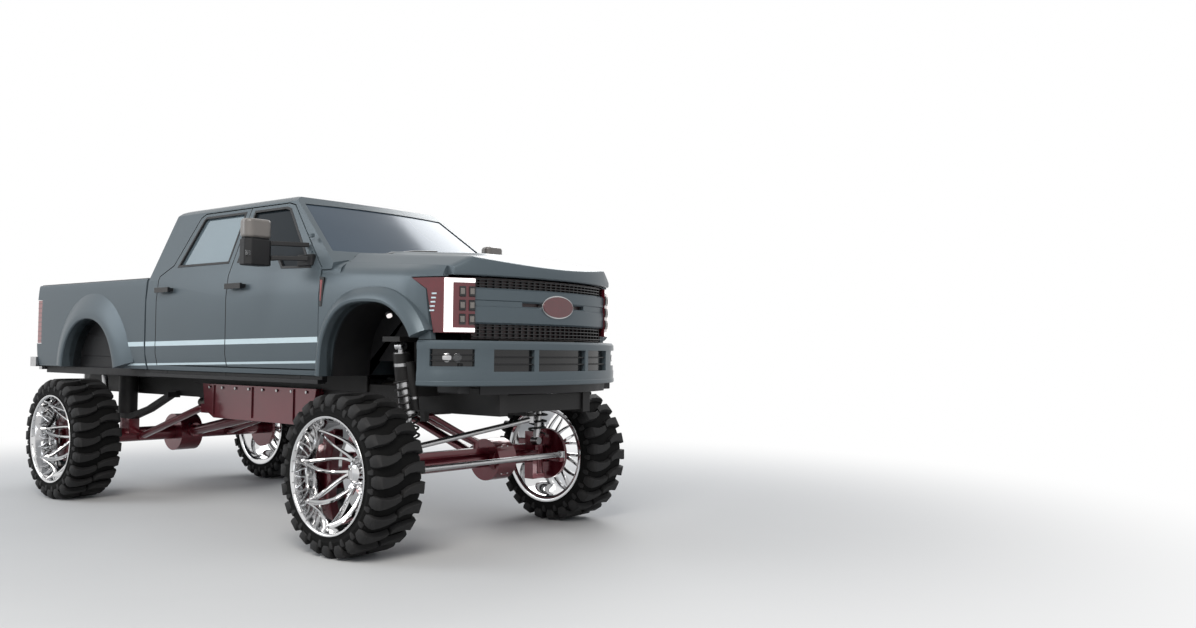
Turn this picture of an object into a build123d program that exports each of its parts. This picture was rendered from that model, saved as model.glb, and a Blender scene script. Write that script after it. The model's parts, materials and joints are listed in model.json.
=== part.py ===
# A lifted crew-cab pickup truck: ladder frame, solid axles, hollow cab and bed, four doors.
# Millimetres. +X is forward, +Y is the left side, +Z is up, the tyres stand on Z = 0.
import os
from math import atan2, cos, degrees, radians, sin, sqrt

from build123d import *

os.makedirs("parts", exist_ok=True)

# Wheels and axles
FRONT_AXLE_X = 2160
WHEELBASE = 4056
REAR_AXLE_X = FRONT_AXLE_X - WHEELBASE
TYRE_R = 545
TYRE_HALF_W = 210
BEAD_HALF_W = 200
BEAD_R = 382
LUG_DEPTH = 24
LUG_COUNT = 18
WHEEL_Y = 1080
LIP_R = 398
LIP_T = 11
BARREL_T = 13
HUB_FACE = 115
HUB_R = 122
HUB_T = 42
SPOKE_COUNT = 8
FIT = 0.3
RUN = 5

# Steering
KINGPIN_Y = 800
ARM_REACH = 250
ARM_T = 30
TIE_ROD_Z = 560
DRAG_LOW_Z = 710
PITMAN_Y = 430
PITMAN_Z = 880
KNUCKLE_HALF_H = 150

# Frame rails
RAIL_IN = 400
RAIL_OUT = 480
RAIL_LOW = 940
RAIL_TOP = 1120
RAIL_FRONT_X = 2960
RAIL_REAR_X = -2985

# Cab
SILL_Z = 1190
FLOOR_TOP_Z = 1260
DOOR_LOW_Z = 1235
BELT_Z = 1960
EAVES_Z = 2530
ROOF_Z = 2620
CAB_REAR_X = -860
CAB_FRONT_X = 1590
SIDE_Y = 960
BELT_Y = 942
DOOR_T = 110
FRAME_T = 45
PANEL_GAP = 8
SKIN_T = 12
REAR_DOOR_X = -690
B_POST_X = 385

# Bed
BED_GAP = 25
BED_FRONT_X = CAB_REAR_X - BED_GAP
BED_REAR_X = -3000
BED_RAIL_Z = 1990
BED_FLOOR_Z = 1290
BED_IN_Y = 830
TAILGATE_T = 70
TAILGATE_HALF_W = 790
GATE_PIN_X = BED_REAR_X + TAILGATE_T / 2
GATE_PIN_Z = BED_FLOOR_Z + 41
GATE_PIN_R = 12

# Front
BUMPER_LOW_Z = 1150
BUMPER_TOP_Z = 1450
FENDER_REAR_X = CAB_FRONT_X + PANEL_GAP
FENDER_FRONT_X = 2880
FENDER_T = 55
HOOD_EDGE_Y = 822
COWL_Y = 792
COWL_GAP = 45
HOOD_REAR_X = 1660
HOOD_PAD_X = 1860
HOOD_PAD_Z = 1968.2
HOOD_NOSE_X = 3050
HOOD_T = 40
NOSE_X = 3130

SIDES = ((1, "left"), (-1, "right"))


def rod(start, end, radius):
    # A round bar between two points
    path = Vector(*end) - Vector(*start)
    with BuildPart(mode=Mode.PRIVATE) as piece:
        with BuildSketch(Plane(origin=start, z_dir=path)):
            Circle(radius)
        extrude(amount=path.length)
    return piece.part


def pipe(points, radius):
    # A round bar bent at each of its points
    with BuildPart(mode=Mode.PRIVATE) as piece:
        with BuildLine() as path:
            Polyline(*points)
        start = Vector(*points[1]) - Vector(*points[0])
        with BuildSketch(Plane(origin=points[0], z_dir=start)):
            Circle(radius)
        sweep(path=path.line, transition=Transition.RIGHT)
    return piece.part


def block(x0, x1, y0, y1, z0, z1):
    # A plain box given by its limits
    with BuildPart(mode=Mode.PRIVATE) as piece:
        with Locations(((x0 + x1) / 2, (y0 + y1) / 2, (z0 + z1) / 2)):
            Box(abs(x1 - x0), abs(y1 - y0), abs(z1 - z0))
    return piece.part


def side_slab(points, y0, y1):
    # An outline seen from the side, as thick as the span y0 to y1
    with BuildPart(mode=Mode.PRIVATE) as piece:
        with BuildSketch(Plane.XZ.offset(-max(y0, y1))):
            with BuildLine():
                Polyline(*points, close=True)
            make_face()
        extrude(amount=abs(y1 - y0))
    return piece.part


def plan_slab(points, z0, z1):
    # An outline seen from above, as tall as the span z0 to z1
    with BuildPart(mode=Mode.PRIVATE) as piece:
        with BuildSketch(Plane.XY.offset(z0)):
            with BuildLine():
                Polyline(*points, close=True)
            make_face()
        extrude(amount=z1 - z0)
    return piece.part


def both(points):
    # A half outline on the left and its mirror image, closed into one
    return list(points) + [(x, -y) for x, y in reversed(points)]


# Cab outer form, drawn again a given depth further in
GLASSHOUSE = (
    # z, rear x, front corner x, bow of the front, half width, corner radius
    (BELT_Z, CAB_REAR_X, 1775, 150, BELT_Y, 90),
    (EAVES_Z, -770, 1010, 80, 735, 80),
    (ROOF_Z, -690, 880, 50, 610, 70),
)


def glasshouse(depth):
    with BuildPart(mode=Mode.PRIVATE) as piece:
        for z, rear, front, bow, half, corner in GLASSHOUSE:
            top = z - depth if z == ROOF_Z else z
            with BuildSketch(Plane.XY.offset(top)) as ring:
                with BuildLine():
                    Polyline(
                        (front - depth, half - depth),
                        (rear + depth, half - depth),
                        (rear + depth, depth - half),
                        (front - depth, depth - half),
                    )
                    ThreePointArc(
                        (front - depth, depth - half),
                        (front - depth + bow, 0),
                        (front - depth, half - depth),
                    )
                make_face()
                fillet(ring.vertices(), radius=max(corner - depth, 20))
        loft(ruled=True)
    return piece.part


LOWER_SIDE = ((928, SILL_Z), (958, 1330), (SIDE_Y, 1780), (BELT_Y, BELT_Z))


def lower_body(depth, x0, x1, low=SILL_Z):
    points = [(y - depth, max(z, low)) for y, z in LOWER_SIDE]
    mirrored = [(-y, z) for y, z in reversed(points)]
    with BuildPart(mode=Mode.PRIVATE) as piece:
        with BuildSketch(Plane.YZ.offset(x0)):
            with BuildLine():
                Polyline(*points, *mirrored, close=True)
            make_face()
        extrude(amount=x1 - x0)
    return piece.part


def cab_form(depth):
    with BuildPart(mode=Mode.PRIVATE) as piece:
        add(glasshouse(depth))
        add(lower_body(depth, CAB_REAR_X + depth, CAB_FRONT_X))
    return piece.part


with BuildPart() as cab_inside:
    add(glasshouse(FRAME_T))
    add(block(CAB_REAR_X + 70, CAB_FRONT_X - 20, DOOR_T - SIDE_Y, SIDE_Y - DOOR_T, FLOOR_TOP_Z, BELT_Z))
    add(block(CAB_FRONT_X - 20, 2200, -1000, 1000, BELT_Z, 2120), mode=Mode.SUBTRACT)

# Door outlines seen from the side
FRONT_DOOR = (
    (B_POST_X + PANEL_GAP / 2, DOOR_LOW_Z),
    (CAB_FRONT_X, DOOR_LOW_Z),
    (CAB_FRONT_X, 1975),
    (1545, 2010),
    (985, 2500),
    (900, 2522),
    (B_POST_X + PANEL_GAP / 2, 2522),
)
REAR_DOOR = (
    (REAR_DOOR_X, DOOR_LOW_Z),
    (B_POST_X - PANEL_GAP / 2, DOOR_LOW_Z),
    (B_POST_X - PANEL_GAP / 2, 2522),
    (-300, 2522),
    (-360, 2490),
    (-520, 2080),
    (REAR_DOOR_X, 1990),
)
FRONT_WINDOW = (
    (458, 2074),
    (1010, 2070),
    (1090, 2000),
    (1440, 1990),
    (940, 2468),
    (880, 2485),
    (458, 2485),
)
REAR_WINDOW = ((-434, 2074), (318, 2074), (318, 2485), (-270, 2485), (-290, 2470))
DOORS = (
    # name, outline, trailing edge x, window, hinge x
    ("front", FRONT_DOOR, B_POST_X + PANEL_GAP / 2, FRONT_WINDOW, CAB_FRONT_X),
    ("rear", REAR_DOOR, REAR_DOOR_X, REAR_WINDOW, B_POST_X - PANEL_GAP / 2),
)


def grown(points, amount):
    # The same outline, larger all round by the amount
    with BuildSketch(Plane.XZ, mode=Mode.PRIVATE) as shape:
        with BuildLine():
            Polyline(*points, close=True)
        make_face()
        offset(amount=amount, kind=Kind.INTERSECTION)
    return shape.sketch


def grown_slab(points, amount, y0, y1):
    with BuildPart(mode=Mode.PRIVATE) as piece:
        with BuildSketch(Plane.XZ.offset(-max(y0, y1))):
            with BuildLine():
                Polyline(*points, close=True)
            make_face()
            offset(amount=amount, kind=Kind.INTERSECTION)
        extrude(amount=abs(y1 - y0))
    return piece.part


outer_form = cab_form(0)
skin_form = cab_form(SKIN_T)

# Cab shell: floor, sills, posts, roof, bulkheads
with BuildPart() as cab_shell:
    add(outer_form)
    add(cab_inside.part, mode=Mode.SUBTRACT)
    for side, side_name in SIDES:
        add(block(CAB_FRONT_X, 2300, side * COWL_Y, side * 1100, 1000, 2075), mode=Mode.SUBTRACT)
    for name, outline, trail, window, hinge in DOORS:
        for side, side_name in SIDES:
            with BuildPart(mode=Mode.PRIVATE) as opening:
                add(grown_slab(outline, PANEL_GAP, side * 500, side * 1100))
                add(block(-1000, 2000, side * 400, side * (SIDE_Y - DOOR_T - RUN), 1000, BELT_Z - 40), mode=Mode.SUBTRACT)
            add(opening.part, mode=Mode.SUBTRACT)
cab_shell.part.label = "cab_shell"
print("cab", cab_shell.part.volume, cab_shell.part.is_valid, len(cab_shell.solids()))
export_step(cab_shell.part, "parts/cab_shell.step")

# Doors: an outer skin to the panel gaps and a thicker inner frame set back from the trailing edge
SETBACK = 30
for name, outline, trail, window, hinge in DOORS:
    inner_outline = [(max(x, trail + SETBACK), max(z, DOOR_LOW_Z + 15)) for x, z in outline]
    for side, side_name in SIDES:
        with BuildPart() as skin:
            add(outer_form)
            add(skin_form, mode=Mode.SUBTRACT)
            add(side_slab(outline, side * 600, side * 1100), mode=Mode.INTERSECT)
        with BuildPart() as door:
            add(skin_form)
            add(cab_inside.part, mode=Mode.SUBTRACT)
            add(side_slab(inner_outline, side * 600, side * 1100), mode=Mode.INTERSECT)
            add(skin.part)
            add(side_slab(window, side * 400, side * 1100), mode=Mode.SUBTRACT)
            add(block(-1000, 2000, side * 300, side * (SIDE_Y - DOOR_T), 1000, BELT_Z), mode=Mode.SUBTRACT)
            add(block(1500, 2000, side * 300, side * (SIDE_Y - DOOR_T), 1900, 2000), mode=Mode.SUBTRACT)
            grip_x = trail + 150
            add(block(grip_x - 110, grip_x + 110, side * (SIDE_Y + 22), side * (SIDE_Y + 44), 1848, 1892))
            for end in (-85, 85):
                add(block(grip_x + end - 25, grip_x + end + 25, side * 900, side * (SIDE_Y + 30), 1855, 1885))
            if name == "front":
                for z in (2080, 2210):
                    add(block(1390, 1425, side * 880, side * 1120, z, z + 28))
                add(block(1345, 1450, side * 1100, side * 1330, 1985, 2345))
        label = "door_" + name + "_" + side_name
        door.part.label = label
        export_step(door.part, "parts/" + label + ".step")
        print(label, len(door.solids()), door.part.is_valid)
        with BuildPart() as pane:
            add(cab_form(18))
            add(cab_form(24), mode=Mode.SUBTRACT)
            add(side_slab(window, side * 400, side * 1100), mode=Mode.INTERSECT)
        label = "glass_" + name + "_" + side_name
        pane.part.label = label
        export_step(pane.part, "parts/" + label + ".step")
        print(label, len(pane.solids()), pane.part.is_valid)


def save(piece, name):
    piece.part.label = name
    export_step(piece.part, "parts/" + name + ".step")
    print(name, len(piece.solids()), piece.part.is_valid)


# Posts between the doors, inboard of them
POST_GAP = 8
with BuildPart() as posts:
    add(glasshouse(FRAME_T + POST_GAP))
    add(glasshouse(FRAME_T + 45), mode=Mode.SUBTRACT)
    for side, side_name in SIDES:
        add(block(300, 500, side * 790, side * (SIDE_Y - DOOR_T - POST_GAP), FLOOR_TOP_Z - 20, BELT_Z + 20))
        add(block(300, 500, side * 790, side * 870, BELT_Z + 2, BELT_Z + 25))
        add(block(300, 500, side * 600, side * 700, 2532, 2585))
    with BuildPart(mode=Mode.PRIVATE) as zones:
        for side, side_name in SIDES:
            add(block(B_POST_X - 55, B_POST_X + 55, side * 500, side * 1100, FLOOR_TOP_Z - 20, 2590))
    add(zones.part, mode=Mode.INTERSECT)
print("posts", len(posts.solids()), posts.part.is_valid)
# Windscreen and rear window, let into the cab shell
SCREEN = ((-700, 2060), (700, 2060), (610, 2500), (-610, 2500))
BACKLIGHT = ((-620, 2060), (620, 2060), (560, 2450), (-560, 2450))
with BuildPart() as screens:
    add(glasshouse(12))
    add(glasshouse(18), mode=Mode.SUBTRACT)
    with BuildPart(mode=Mode.PRIVATE) as holes:
        with BuildSketch(Plane.YZ.offset(600)):
            with BuildLine():
                Polyline((-840, 2100), (840, 2100), (690, 2510), (-690, 2510), close=True)
            make_face()
        extrude(amount=1500)
        with BuildSketch(Plane.YZ.offset(-900)):
            with BuildLine():
                Polyline((-700, 2080), (700, 2080), (610, 2450), (-610, 2450), close=True)
            make_face()
        extrude(amount=200)
    add(holes.part, mode=Mode.INTERSECT)
save(screens, "cab_windows")

with BuildPart() as shell:
    add(cab_shell.part)
    add(holes.part, mode=Mode.SUBTRACT)
    add(posts.part)
    pad_y = SIDE_Y - DOOR_T - FIT
    for side, side_name in SIDES:
        for z in (1400, 1750):
            add(block(CAB_FRONT_X - 18, CAB_FRONT_X - 2, side * 800, side * pad_y, z, z + 60))
            add(block(B_POST_X - 45, B_POST_X - 8, side * 800, side * pad_y, z, z + 60))
        add(block(B_POST_X + 38, B_POST_X + 54, side * 800, side * pad_y, 1600, 1660))
        add(block(REAR_DOOR_X - 50, REAR_DOOR_X - 9, side * 800, side * 880, 1600, 1660))
        add(block(REAR_DOOR_X - 50, REAR_DOOR_X + 50, side * 800, side * pad_y, 1600, 1660))
save(shell, "cab_shell")

# Tyre: a closed ring with two staggered rows of slanted tread blocks that reach over the shoulders
ROW_STEP = 360 / LUG_COUNT
LUG_IN = 6
LUG_OUT = TYRE_HALF_W - 6
LUG_MID = (LUG_IN + LUG_OUT) / 2
LUG_HALF = 29
LUG_SLANT = 20
lug_corner = (LUG_MID - LUG_IN) * sin(radians(LUG_SLANT)) + LUG_HALF * cos(radians(LUG_SLANT))
LUG_TOP = sqrt(TYRE_R ** 2 - lug_corner ** 2)
LUG_PHASE = degrees(atan2(lug_corner, LUG_TOP))
with BuildPart(mode=Mode.PRIVATE) as lug:
    with BuildSketch(Plane.YZ):
        with BuildLine():
            Polyline(
                (LUG_IN, -(LUG_TOP - LUG_DEPTH - 20)),
                (LUG_IN, -LUG_TOP),
                (LUG_OUT - 24, -LUG_TOP),
                (LUG_OUT, -(LUG_TOP - 30)),
                (LUG_OUT, -(LUG_TOP - 85)),
                (LUG_OUT - 40, -(LUG_TOP - 85)),
                close=True,
            )
        make_face()
    extrude(amount=LUG_HALF, both=True)
slanted_lug = lug.part.rotate(Axis((0, LUG_MID, 0), (0, 0, 1)), LUG_SLANT)
with BuildPart() as full_tyre:
    with BuildSketch(Plane.YZ):
        with BuildLine():
            Polyline(
                (-BEAD_HALF_W, BEAD_R),
                (BEAD_HALF_W, BEAD_R),
                (BEAD_HALF_W, BEAD_R + 22),
                (TYRE_HALF_W - 8, TYRE_R - 70),
                (TYRE_HALF_W - 40, LUG_TOP - LUG_DEPTH),
                (40 - TYRE_HALF_W, LUG_TOP - LUG_DEPTH),
                (8 - TYRE_HALF_W, TYRE_R - 70),
                (-BEAD_HALF_W, BEAD_R + 22),
                close=True,
            )
        make_face()
    revolve(axis=Axis.Y)
    for index in range(LUG_COUNT):
        turn = LUG_PHASE + index * ROW_STEP
        add(slanted_lug.rotate(Axis.Y, -turn))
        add(slanted_lug.mirror(Plane.XZ).rotate(Axis.Y, -turn - ROW_STEP / 2))

# Wheel: deep barrel, hub flange well inside it and spokes reaching out to the lip
with BuildPart() as wheel:
    with BuildSketch(Plane.YZ):
        with BuildLine():
            Polyline(
                (-BEAD_HALF_W - LIP_T, BEAD_R - BARREL_T),
                (BEAD_HALF_W + LIP_T, BEAD_R - BARREL_T),
                (BEAD_HALF_W + LIP_T, LIP_R),
                (BEAD_HALF_W + FIT, LIP_R),
                (BEAD_HALF_W + FIT, BEAD_R - FIT),
                (-BEAD_HALF_W - FIT, BEAD_R - FIT),
                (-BEAD_HALF_W - FIT, LIP_R),
                (-BEAD_HALF_W - LIP_T, LIP_R),
                close=True,
            )
        make_face()
    revolve(axis=Axis.Y)
    with BuildSketch(Plane.XZ.offset(HUB_FACE)):
        Circle(HUB_R)
    extrude(amount=-HUB_T)
    with BuildSketch(Plane.XZ.offset(HUB_FACE - HUB_T)):
        Circle(58)
    extrude(amount=-55)
    for index in range(SPOKE_COUNT):
        turn = index * 360 / SPOKE_COUNT
        with BuildPart(mode=Mode.PRIVATE) as spoke:
            with BuildSketch(Plane.XY.offset(100)):
                with Locations((0, 25 - HUB_FACE)):
                    Rectangle(62, 46)
            with BuildSketch(Plane.XY.offset(BEAD_R - BARREL_T + 5)):
                with Locations((0, 150)):
                    Rectangle(46, 30)
            loft()
        add(spoke.part.rotate(Axis.Y, turn))
print("wheel", len(wheel.solids()), wheel.part.is_valid)

for x, place in ((FRONT_AXLE_X, "front"), (REAR_AXLE_X, "rear")):
    for side, side_name in SIDES:
        spin = 0 if side > 0 else 180
        with BuildPart() as placed_rim:
            add(wheel.part.rotate(Axis.Z, spin).moved(Location((x, side * WHEEL_Y, TYRE_R))))
        save(placed_rim, "rim_" + place + "_" + side_name)
        with BuildPart() as placed_tyre:
            add(full_tyre.part.rotate(Axis.Z, spin).moved(Location((x, side * WHEEL_Y, TYRE_R))))
        save(placed_tyre, "tyre_" + place + "_" + side_name)

# Steering knuckles: upright, spindle, brake disc and forward arms
for side, side_name in SIDES:
    with BuildPart() as knuckle:
        add(rod(
            (FRONT_AXLE_X, side * KINGPIN_Y, TYRE_R - KNUCKLE_HALF_H),
            (FRONT_AXLE_X, side * KINGPIN_Y, TYRE_R + KNUCKLE_HALF_H), 40,
        ))
        add(rod((FRONT_AXLE_X, side * 840, TYRE_R), (FRONT_AXLE_X, side * (WHEEL_Y - HUB_FACE - FIT), TYRE_R), 70))
        add(rod((FRONT_AXLE_X, side * 895, TYRE_R), (FRONT_AXLE_X, side * 925, TYRE_R), 205))
        low = TIE_ROD_Z - 25 - ARM_T
        add(block(FRONT_AXLE_X, FRONT_AXLE_X + ARM_REACH, side * 780, side * 820, low, low + ARM_T))
        add(rod(
            (FRONT_AXLE_X + ARM_REACH, side * KINGPIN_Y, low),
            (FRONT_AXLE_X + ARM_REACH, side * KINGPIN_Y, low + ARM_T), 30,
        ))
        if side < 0:
            low = DRAG_LOW_Z - 25 - ARM_T
            add(block(FRONT_AXLE_X, FRONT_AXLE_X + ARM_REACH, side * 780, side * 820, low, low + ARM_T))
            add(rod(
                (FRONT_AXLE_X + ARM_REACH, side * KINGPIN_Y, low),
                (FRONT_AXLE_X + ARM_REACH, side * KINGPIN_Y, low + ARM_T), 30,
            ))
    save(knuckle, "knuckle_" + side_name)

# Tie rod, drag link and pitman arm
ROD_X = FRONT_AXLE_X + ARM_REACH
with BuildPart() as tie_rod:
    add(rod((ROD_X, -KINGPIN_Y, TIE_ROD_Z), (ROD_X, KINGPIN_Y, TIE_ROD_Z), 20))
    for side, side_name in SIDES:
        add(rod((ROD_X, side * KINGPIN_Y, TIE_ROD_Z - 24.5), (ROD_X, side * KINGPIN_Y, TIE_ROD_Z + 25), 28))
save(tie_rod, "tie_rod")
DRAG_TOP_Z = PITMAN_Z - 25
with BuildPart() as drag_link:
    add(rod((ROD_X, -KINGPIN_Y, DRAG_LOW_Z), (ROD_X, PITMAN_Y, DRAG_TOP_Z), 20))
    add(rod((ROD_X, -KINGPIN_Y, DRAG_LOW_Z - 24.5), (ROD_X, -KINGPIN_Y, DRAG_LOW_Z + 25), 28))
    add(rod((ROD_X, PITMAN_Y, DRAG_TOP_Z - 25), (ROD_X, PITMAN_Y, DRAG_TOP_Z + 24.5), 28))
save(drag_link, "drag_link")
with BuildPart() as pitman:
    add(block(FRONT_AXLE_X, ROD_X, PITMAN_Y - 22, PITMAN_Y + 22, PITMAN_Z, PITMAN_Z + ARM_T))
    add(rod((ROD_X, PITMAN_Y, PITMAN_Z), (ROD_X, PITMAN_Y, PITMAN_Z + ARM_T), 30))
    add(rod((FRONT_AXLE_X, PITMAN_Y, PITMAN_Z), (FRONT_AXLE_X, PITMAN_Y, PITMAN_Z + ARM_T), 34))
save(pitman, "pitman_arm")

# Front axle: tube, offset differential and the ears that hold the knuckles
DIFF_Y = 280
FRONT_NOSE_X = FRONT_AXLE_X - 215
ARM_Y = 520
DAMPER_X = FRONT_AXLE_X + 110
DAMPER_Y = 650
with BuildPart() as front_axle:
    add(rod((FRONT_AXLE_X, -735, TYRE_R), (FRONT_AXLE_X, 735, TYRE_R), 58))
    add(rod((FRONT_AXLE_X, DIFF_Y - 95, TYRE_R), (FRONT_AXLE_X, DIFF_Y + 95, TYRE_R), 160))
    add(rod((FRONT_NOSE_X, DIFF_Y, TYRE_R + 30), (FRONT_AXLE_X, DIFF_Y, TYRE_R + 30), 62))
    add(block(FRONT_AXLE_X - 30, FRONT_AXLE_X + 30, -620, 620, 590, 640))
    for side, side_name in SIDES:
        add(block(FRONT_AXLE_X - 45, FRONT_AXLE_X + 45, side * 690, side * 738, 355, 735))
        for low in (TYRE_R + KNUCKLE_HALF_H + 0.5, TYRE_R - KNUCKLE_HALF_H - 40.5):
            add(block(FRONT_AXLE_X - 45, FRONT_AXLE_X + 45, side * 690, side * 835, low, low + 40))
        add(block(FRONT_AXLE_X - 90, FRONT_AXLE_X - 40, side * (ARM_Y - 40), side * (ARM_Y + 40), 500, 590))
        add(block(FRONT_AXLE_X - 20, DAMPER_X + 40, side * 600, side * (DAMPER_Y + 35), 600, 640))
save(front_axle, "front_axle")

# Rear axle: tube, central differential, hubs, brake discs, spring seats and damper shelves
REAR_NOSE_X = REAR_AXLE_X + 235
REAR_DAMPER_Y = 680
EYE_R = 30
SPRING_SEAT_Z = 700
with BuildPart() as rear_axle:
    hub_end = WHEEL_Y - HUB_FACE - FIT
    add(rod((REAR_AXLE_X, -hub_end, TYRE_R), (REAR_AXLE_X, hub_end, TYRE_R), 68))
    add(rod((REAR_AXLE_X, -110, TYRE_R), (REAR_AXLE_X, 110, TYRE_R), 180))
    add(rod((REAR_AXLE_X, 0, TYRE_R + 30), (REAR_NOSE_X, 0, TYRE_R + 30), 66))
    for side, side_name in SIDES:
        add(rod((REAR_AXLE_X, side * 895, TYRE_R), (REAR_AXLE_X, side * 925, TYRE_R), 205))
        add(block(REAR_AXLE_X - 90, REAR_AXLE_X + 90, side * 500, side * 600, 560, SPRING_SEAT_Z))
        add(block(REAR_AXLE_X - 200, REAR_AXLE_X - 40, side * 645, side * 715, 520, 560))
        add(block(REAR_AXLE_X + 40, REAR_AXLE_X + 95, side * 430, side * 500, 500, 590))
save(rear_axle, "rear_axle")

# Ladder frame with cross members, body mounts, damper towers, spring hangers and the steering box
SPRING_Y0 = 520
SPRING_Y1 = 595
TOWER_Z = 1440
CROSS_LOW = 960
with BuildPart() as frame_rails:
    for side, side_name in SIDES:
        add(block(RAIL_REAR_X, RAIL_FRONT_X, side * RAIL_IN, side * RAIL_OUT, RAIL_LOW, RAIL_TOP))
        for x in (-2850, -2300, -1450, -1000, -700, 300, 1300):
            add(rod((x, side * 440, RAIL_TOP - 5), (x, side * 440, SILL_Z - FIT), 45))
        add(block(DAMPER_X - 90, DAMPER_X + 90, side * 470, side * 850, TOWER_Z, TOWER_Z + 35))
        for x in (DAMPER_X - 90, DAMPER_X + 70):
            add(block(x, x + 20, side * 470, side * 700, 1060, TOWER_Z + 35))
        for x in (-2700, -1150):
            add(block(x - 30, x + 30, side * 475, side * (SPRING_Y0 - FIT), 925, 985))
    for x in (-2900, -2350, -1300, -500, 2900):
        add(block(x - 45, x + 45, -410, 410, CROSS_LOW, 1080))
    add(block(FRONT_AXLE_X - 60, FRONT_AXLE_X + 60, 370, 540, PITMAN_Z + ARM_T + 0.5, 1090))
    add(block(FRONT_AXLE_X + 5, FRONT_AXLE_X + 55, -480, -440, 870, 1000))
    for side, side_name in SIDES:
        add(block(2890, RAIL_FRONT_X, side * RAIL_IN, side * RAIL_OUT, RAIL_TOP - 5, BUMPER_LOW_Z - FIT))
save(frame_rails, "frame_rails")

# Lift kit: drop brackets outside the rails and a cross member below them
LIFT_LOW = 776
with BuildPart() as lift_frame:
    for side, side_name in SIDES:
        add(side_slab(
            ((-600, 1070), (1040, 1070), (980, 800), (760, LIFT_LOW), (-420, LIFT_LOW), (-560, 840)),
            side * (RAIL_OUT + FIT), side * 560,
        ))
        add(block(960, 1060, side * 490, side * 550, 770, 850))
        add(block(-640, -540, side * 490, side * 550, 810, 890))
    add(block(700, 860, -500, 500, LIFT_LOW, LIFT_LOW + 54))
save(lift_frame, "lift_frame")

# Suspension arms: front radius arms, track bar and rear traction bars
with BuildPart() as arms:
    for side, side_name in SIDES:
        add(pipe((
            (FRONT_AXLE_X - 90 - FIT, side * ARM_Y, TYRE_R), (FRONT_AXLE_X - 130, side * ARM_Y, TYRE_R),
            (1100, side * ARM_Y, 810), (1060 + FIT, side * ARM_Y, 810),
        ), 34))
        add(pipe((
            (REAR_AXLE_X + 95 + FIT, side * 465, TYRE_R), (REAR_AXLE_X + 135, side * 465, TYRE_R),
            (-680, side * ARM_Y, 850), (-640 - FIT, side * ARM_Y, 850),
        ), 32))
    bar_x = FRONT_AXLE_X + 30
    add(pipe(((bar_x, -440 + FIT, 905), (bar_x, -395, 905), (bar_x, 60, 690), (bar_x, 60, 640 + FIT)), 20))
save(arms, "suspension_arms")

# Coil-over dampers at the front, plain dampers at the rear
with BuildPart() as dampers:
    for side, side_name in SIDES:
        low = (DAMPER_X, side * DAMPER_Y, 640 + FIT + EYE_R)
        high = (DAMPER_X, side * 760, TOWER_Z - FIT - EYE_R)
        lean = (high[1] - low[1]) / (high[2] - low[2])
        add(rod(low, high, 24))
        add(rod((DAMPER_X, low[1] + lean * 270, low[2] + 270), (DAMPER_X, low[1] + lean * 700, low[2] + 700), 56))
        rear_low = (REAR_AXLE_X - 160, side * REAR_DAMPER_Y, 560 + FIT + EYE_R)
        rear_high = (REAR_AXLE_X - 260, side * REAR_DAMPER_Y, SILL_Z - FIT - EYE_R)
        add(rod(rear_low, rear_high, 27))
        for x, y, z in (low, high):
            add(rod((x - 35, y, z), (x + 35, y, z), EYE_R))
        for x, y, z in (rear_low, rear_high):
            add(rod((x, y - 35, z), (x, y + 35, z), EYE_R))
save(dampers, "dampers")

# Leaf packs and air bags over the rear axle
with BuildPart() as springs:
    for side, side_name in SIDES:
        add(side_slab(
            (
                (-2730, 930), (-2300, 780), (-2000, SPRING_SEAT_Z + 0.5), (-1780, SPRING_SEAT_Z + 0.5),
                (-1500, 780), (-1120, 930), (-1120, 975), (-1500, 830), (-1780, 760), (-2000, 760),
                (-2300, 830), (-2730, 975),
            ),
            side * SPRING_Y0, side * SPRING_Y1,
        ))
        add(rod((REAR_AXLE_X, side * 570, 755), (REAR_AXLE_X, side * 570, SILL_Z - FIT), 85))
save(springs, "rear_springs")

# Engine, gearbox and transfer case as one closed mass
CASE_FRONT_X = 900
CASE_REAR_X = 560
with BuildPart() as engine:
    add(block(1720, 2700, -300, 300, 1090, 1700))
    add(block(1800, 2500, -200, 200, 940, 1100))
    add(block(850, 1800, -170, 170, 880, 1150))
    add(block(CASE_REAR_X, CASE_FRONT_X, -180, 360, 840, 1120))
save(engine, "engine")

# Drive shafts to the two differentials
with BuildPart() as shafts:
    add(pipe((
        (CASE_FRONT_X + FIT, DIFF_Y, 920), (CASE_FRONT_X + 40, DIFF_Y, 920),
        (FRONT_NOSE_X - 40, DIFF_Y, TYRE_R + 30), (FRONT_NOSE_X - FIT, DIFF_Y, TYRE_R + 30),
    ), 34))
    add(pipe((
        (CASE_REAR_X - FIT, 0, 980), (CASE_REAR_X - 40, 0, 980),
        (REAR_NOSE_X + 40, 0, TYRE_R + 30), (REAR_NOSE_X + FIT, 0, TYRE_R + 30),
    ), 46))
save(shafts, "drive_shafts")

# Exhaust pipe hung from a cross member, and the fuel tank beside the left rail
with BuildPart() as exhaust:
    add(pipe(((1720 - FIT, -250, 1130), (1560, -250, 1130), (1250, -300, 880), (-1050, -300, 880)), 42))
    add(rod((0, -300, 880), (-700, -300, 880), 75))
    add(block(-510, -490, -315, -285, 940, CROSS_LOW - FIT))
save(exhaust, "exhaust")
with BuildPart() as tank:
    add(block(-440, 480, 100, RAIL_IN - FIT, 860, 1130))
    fillet(tank.edges().filter_by(Axis.X), radius=30)
save(tank, "fuel_tank")

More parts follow.
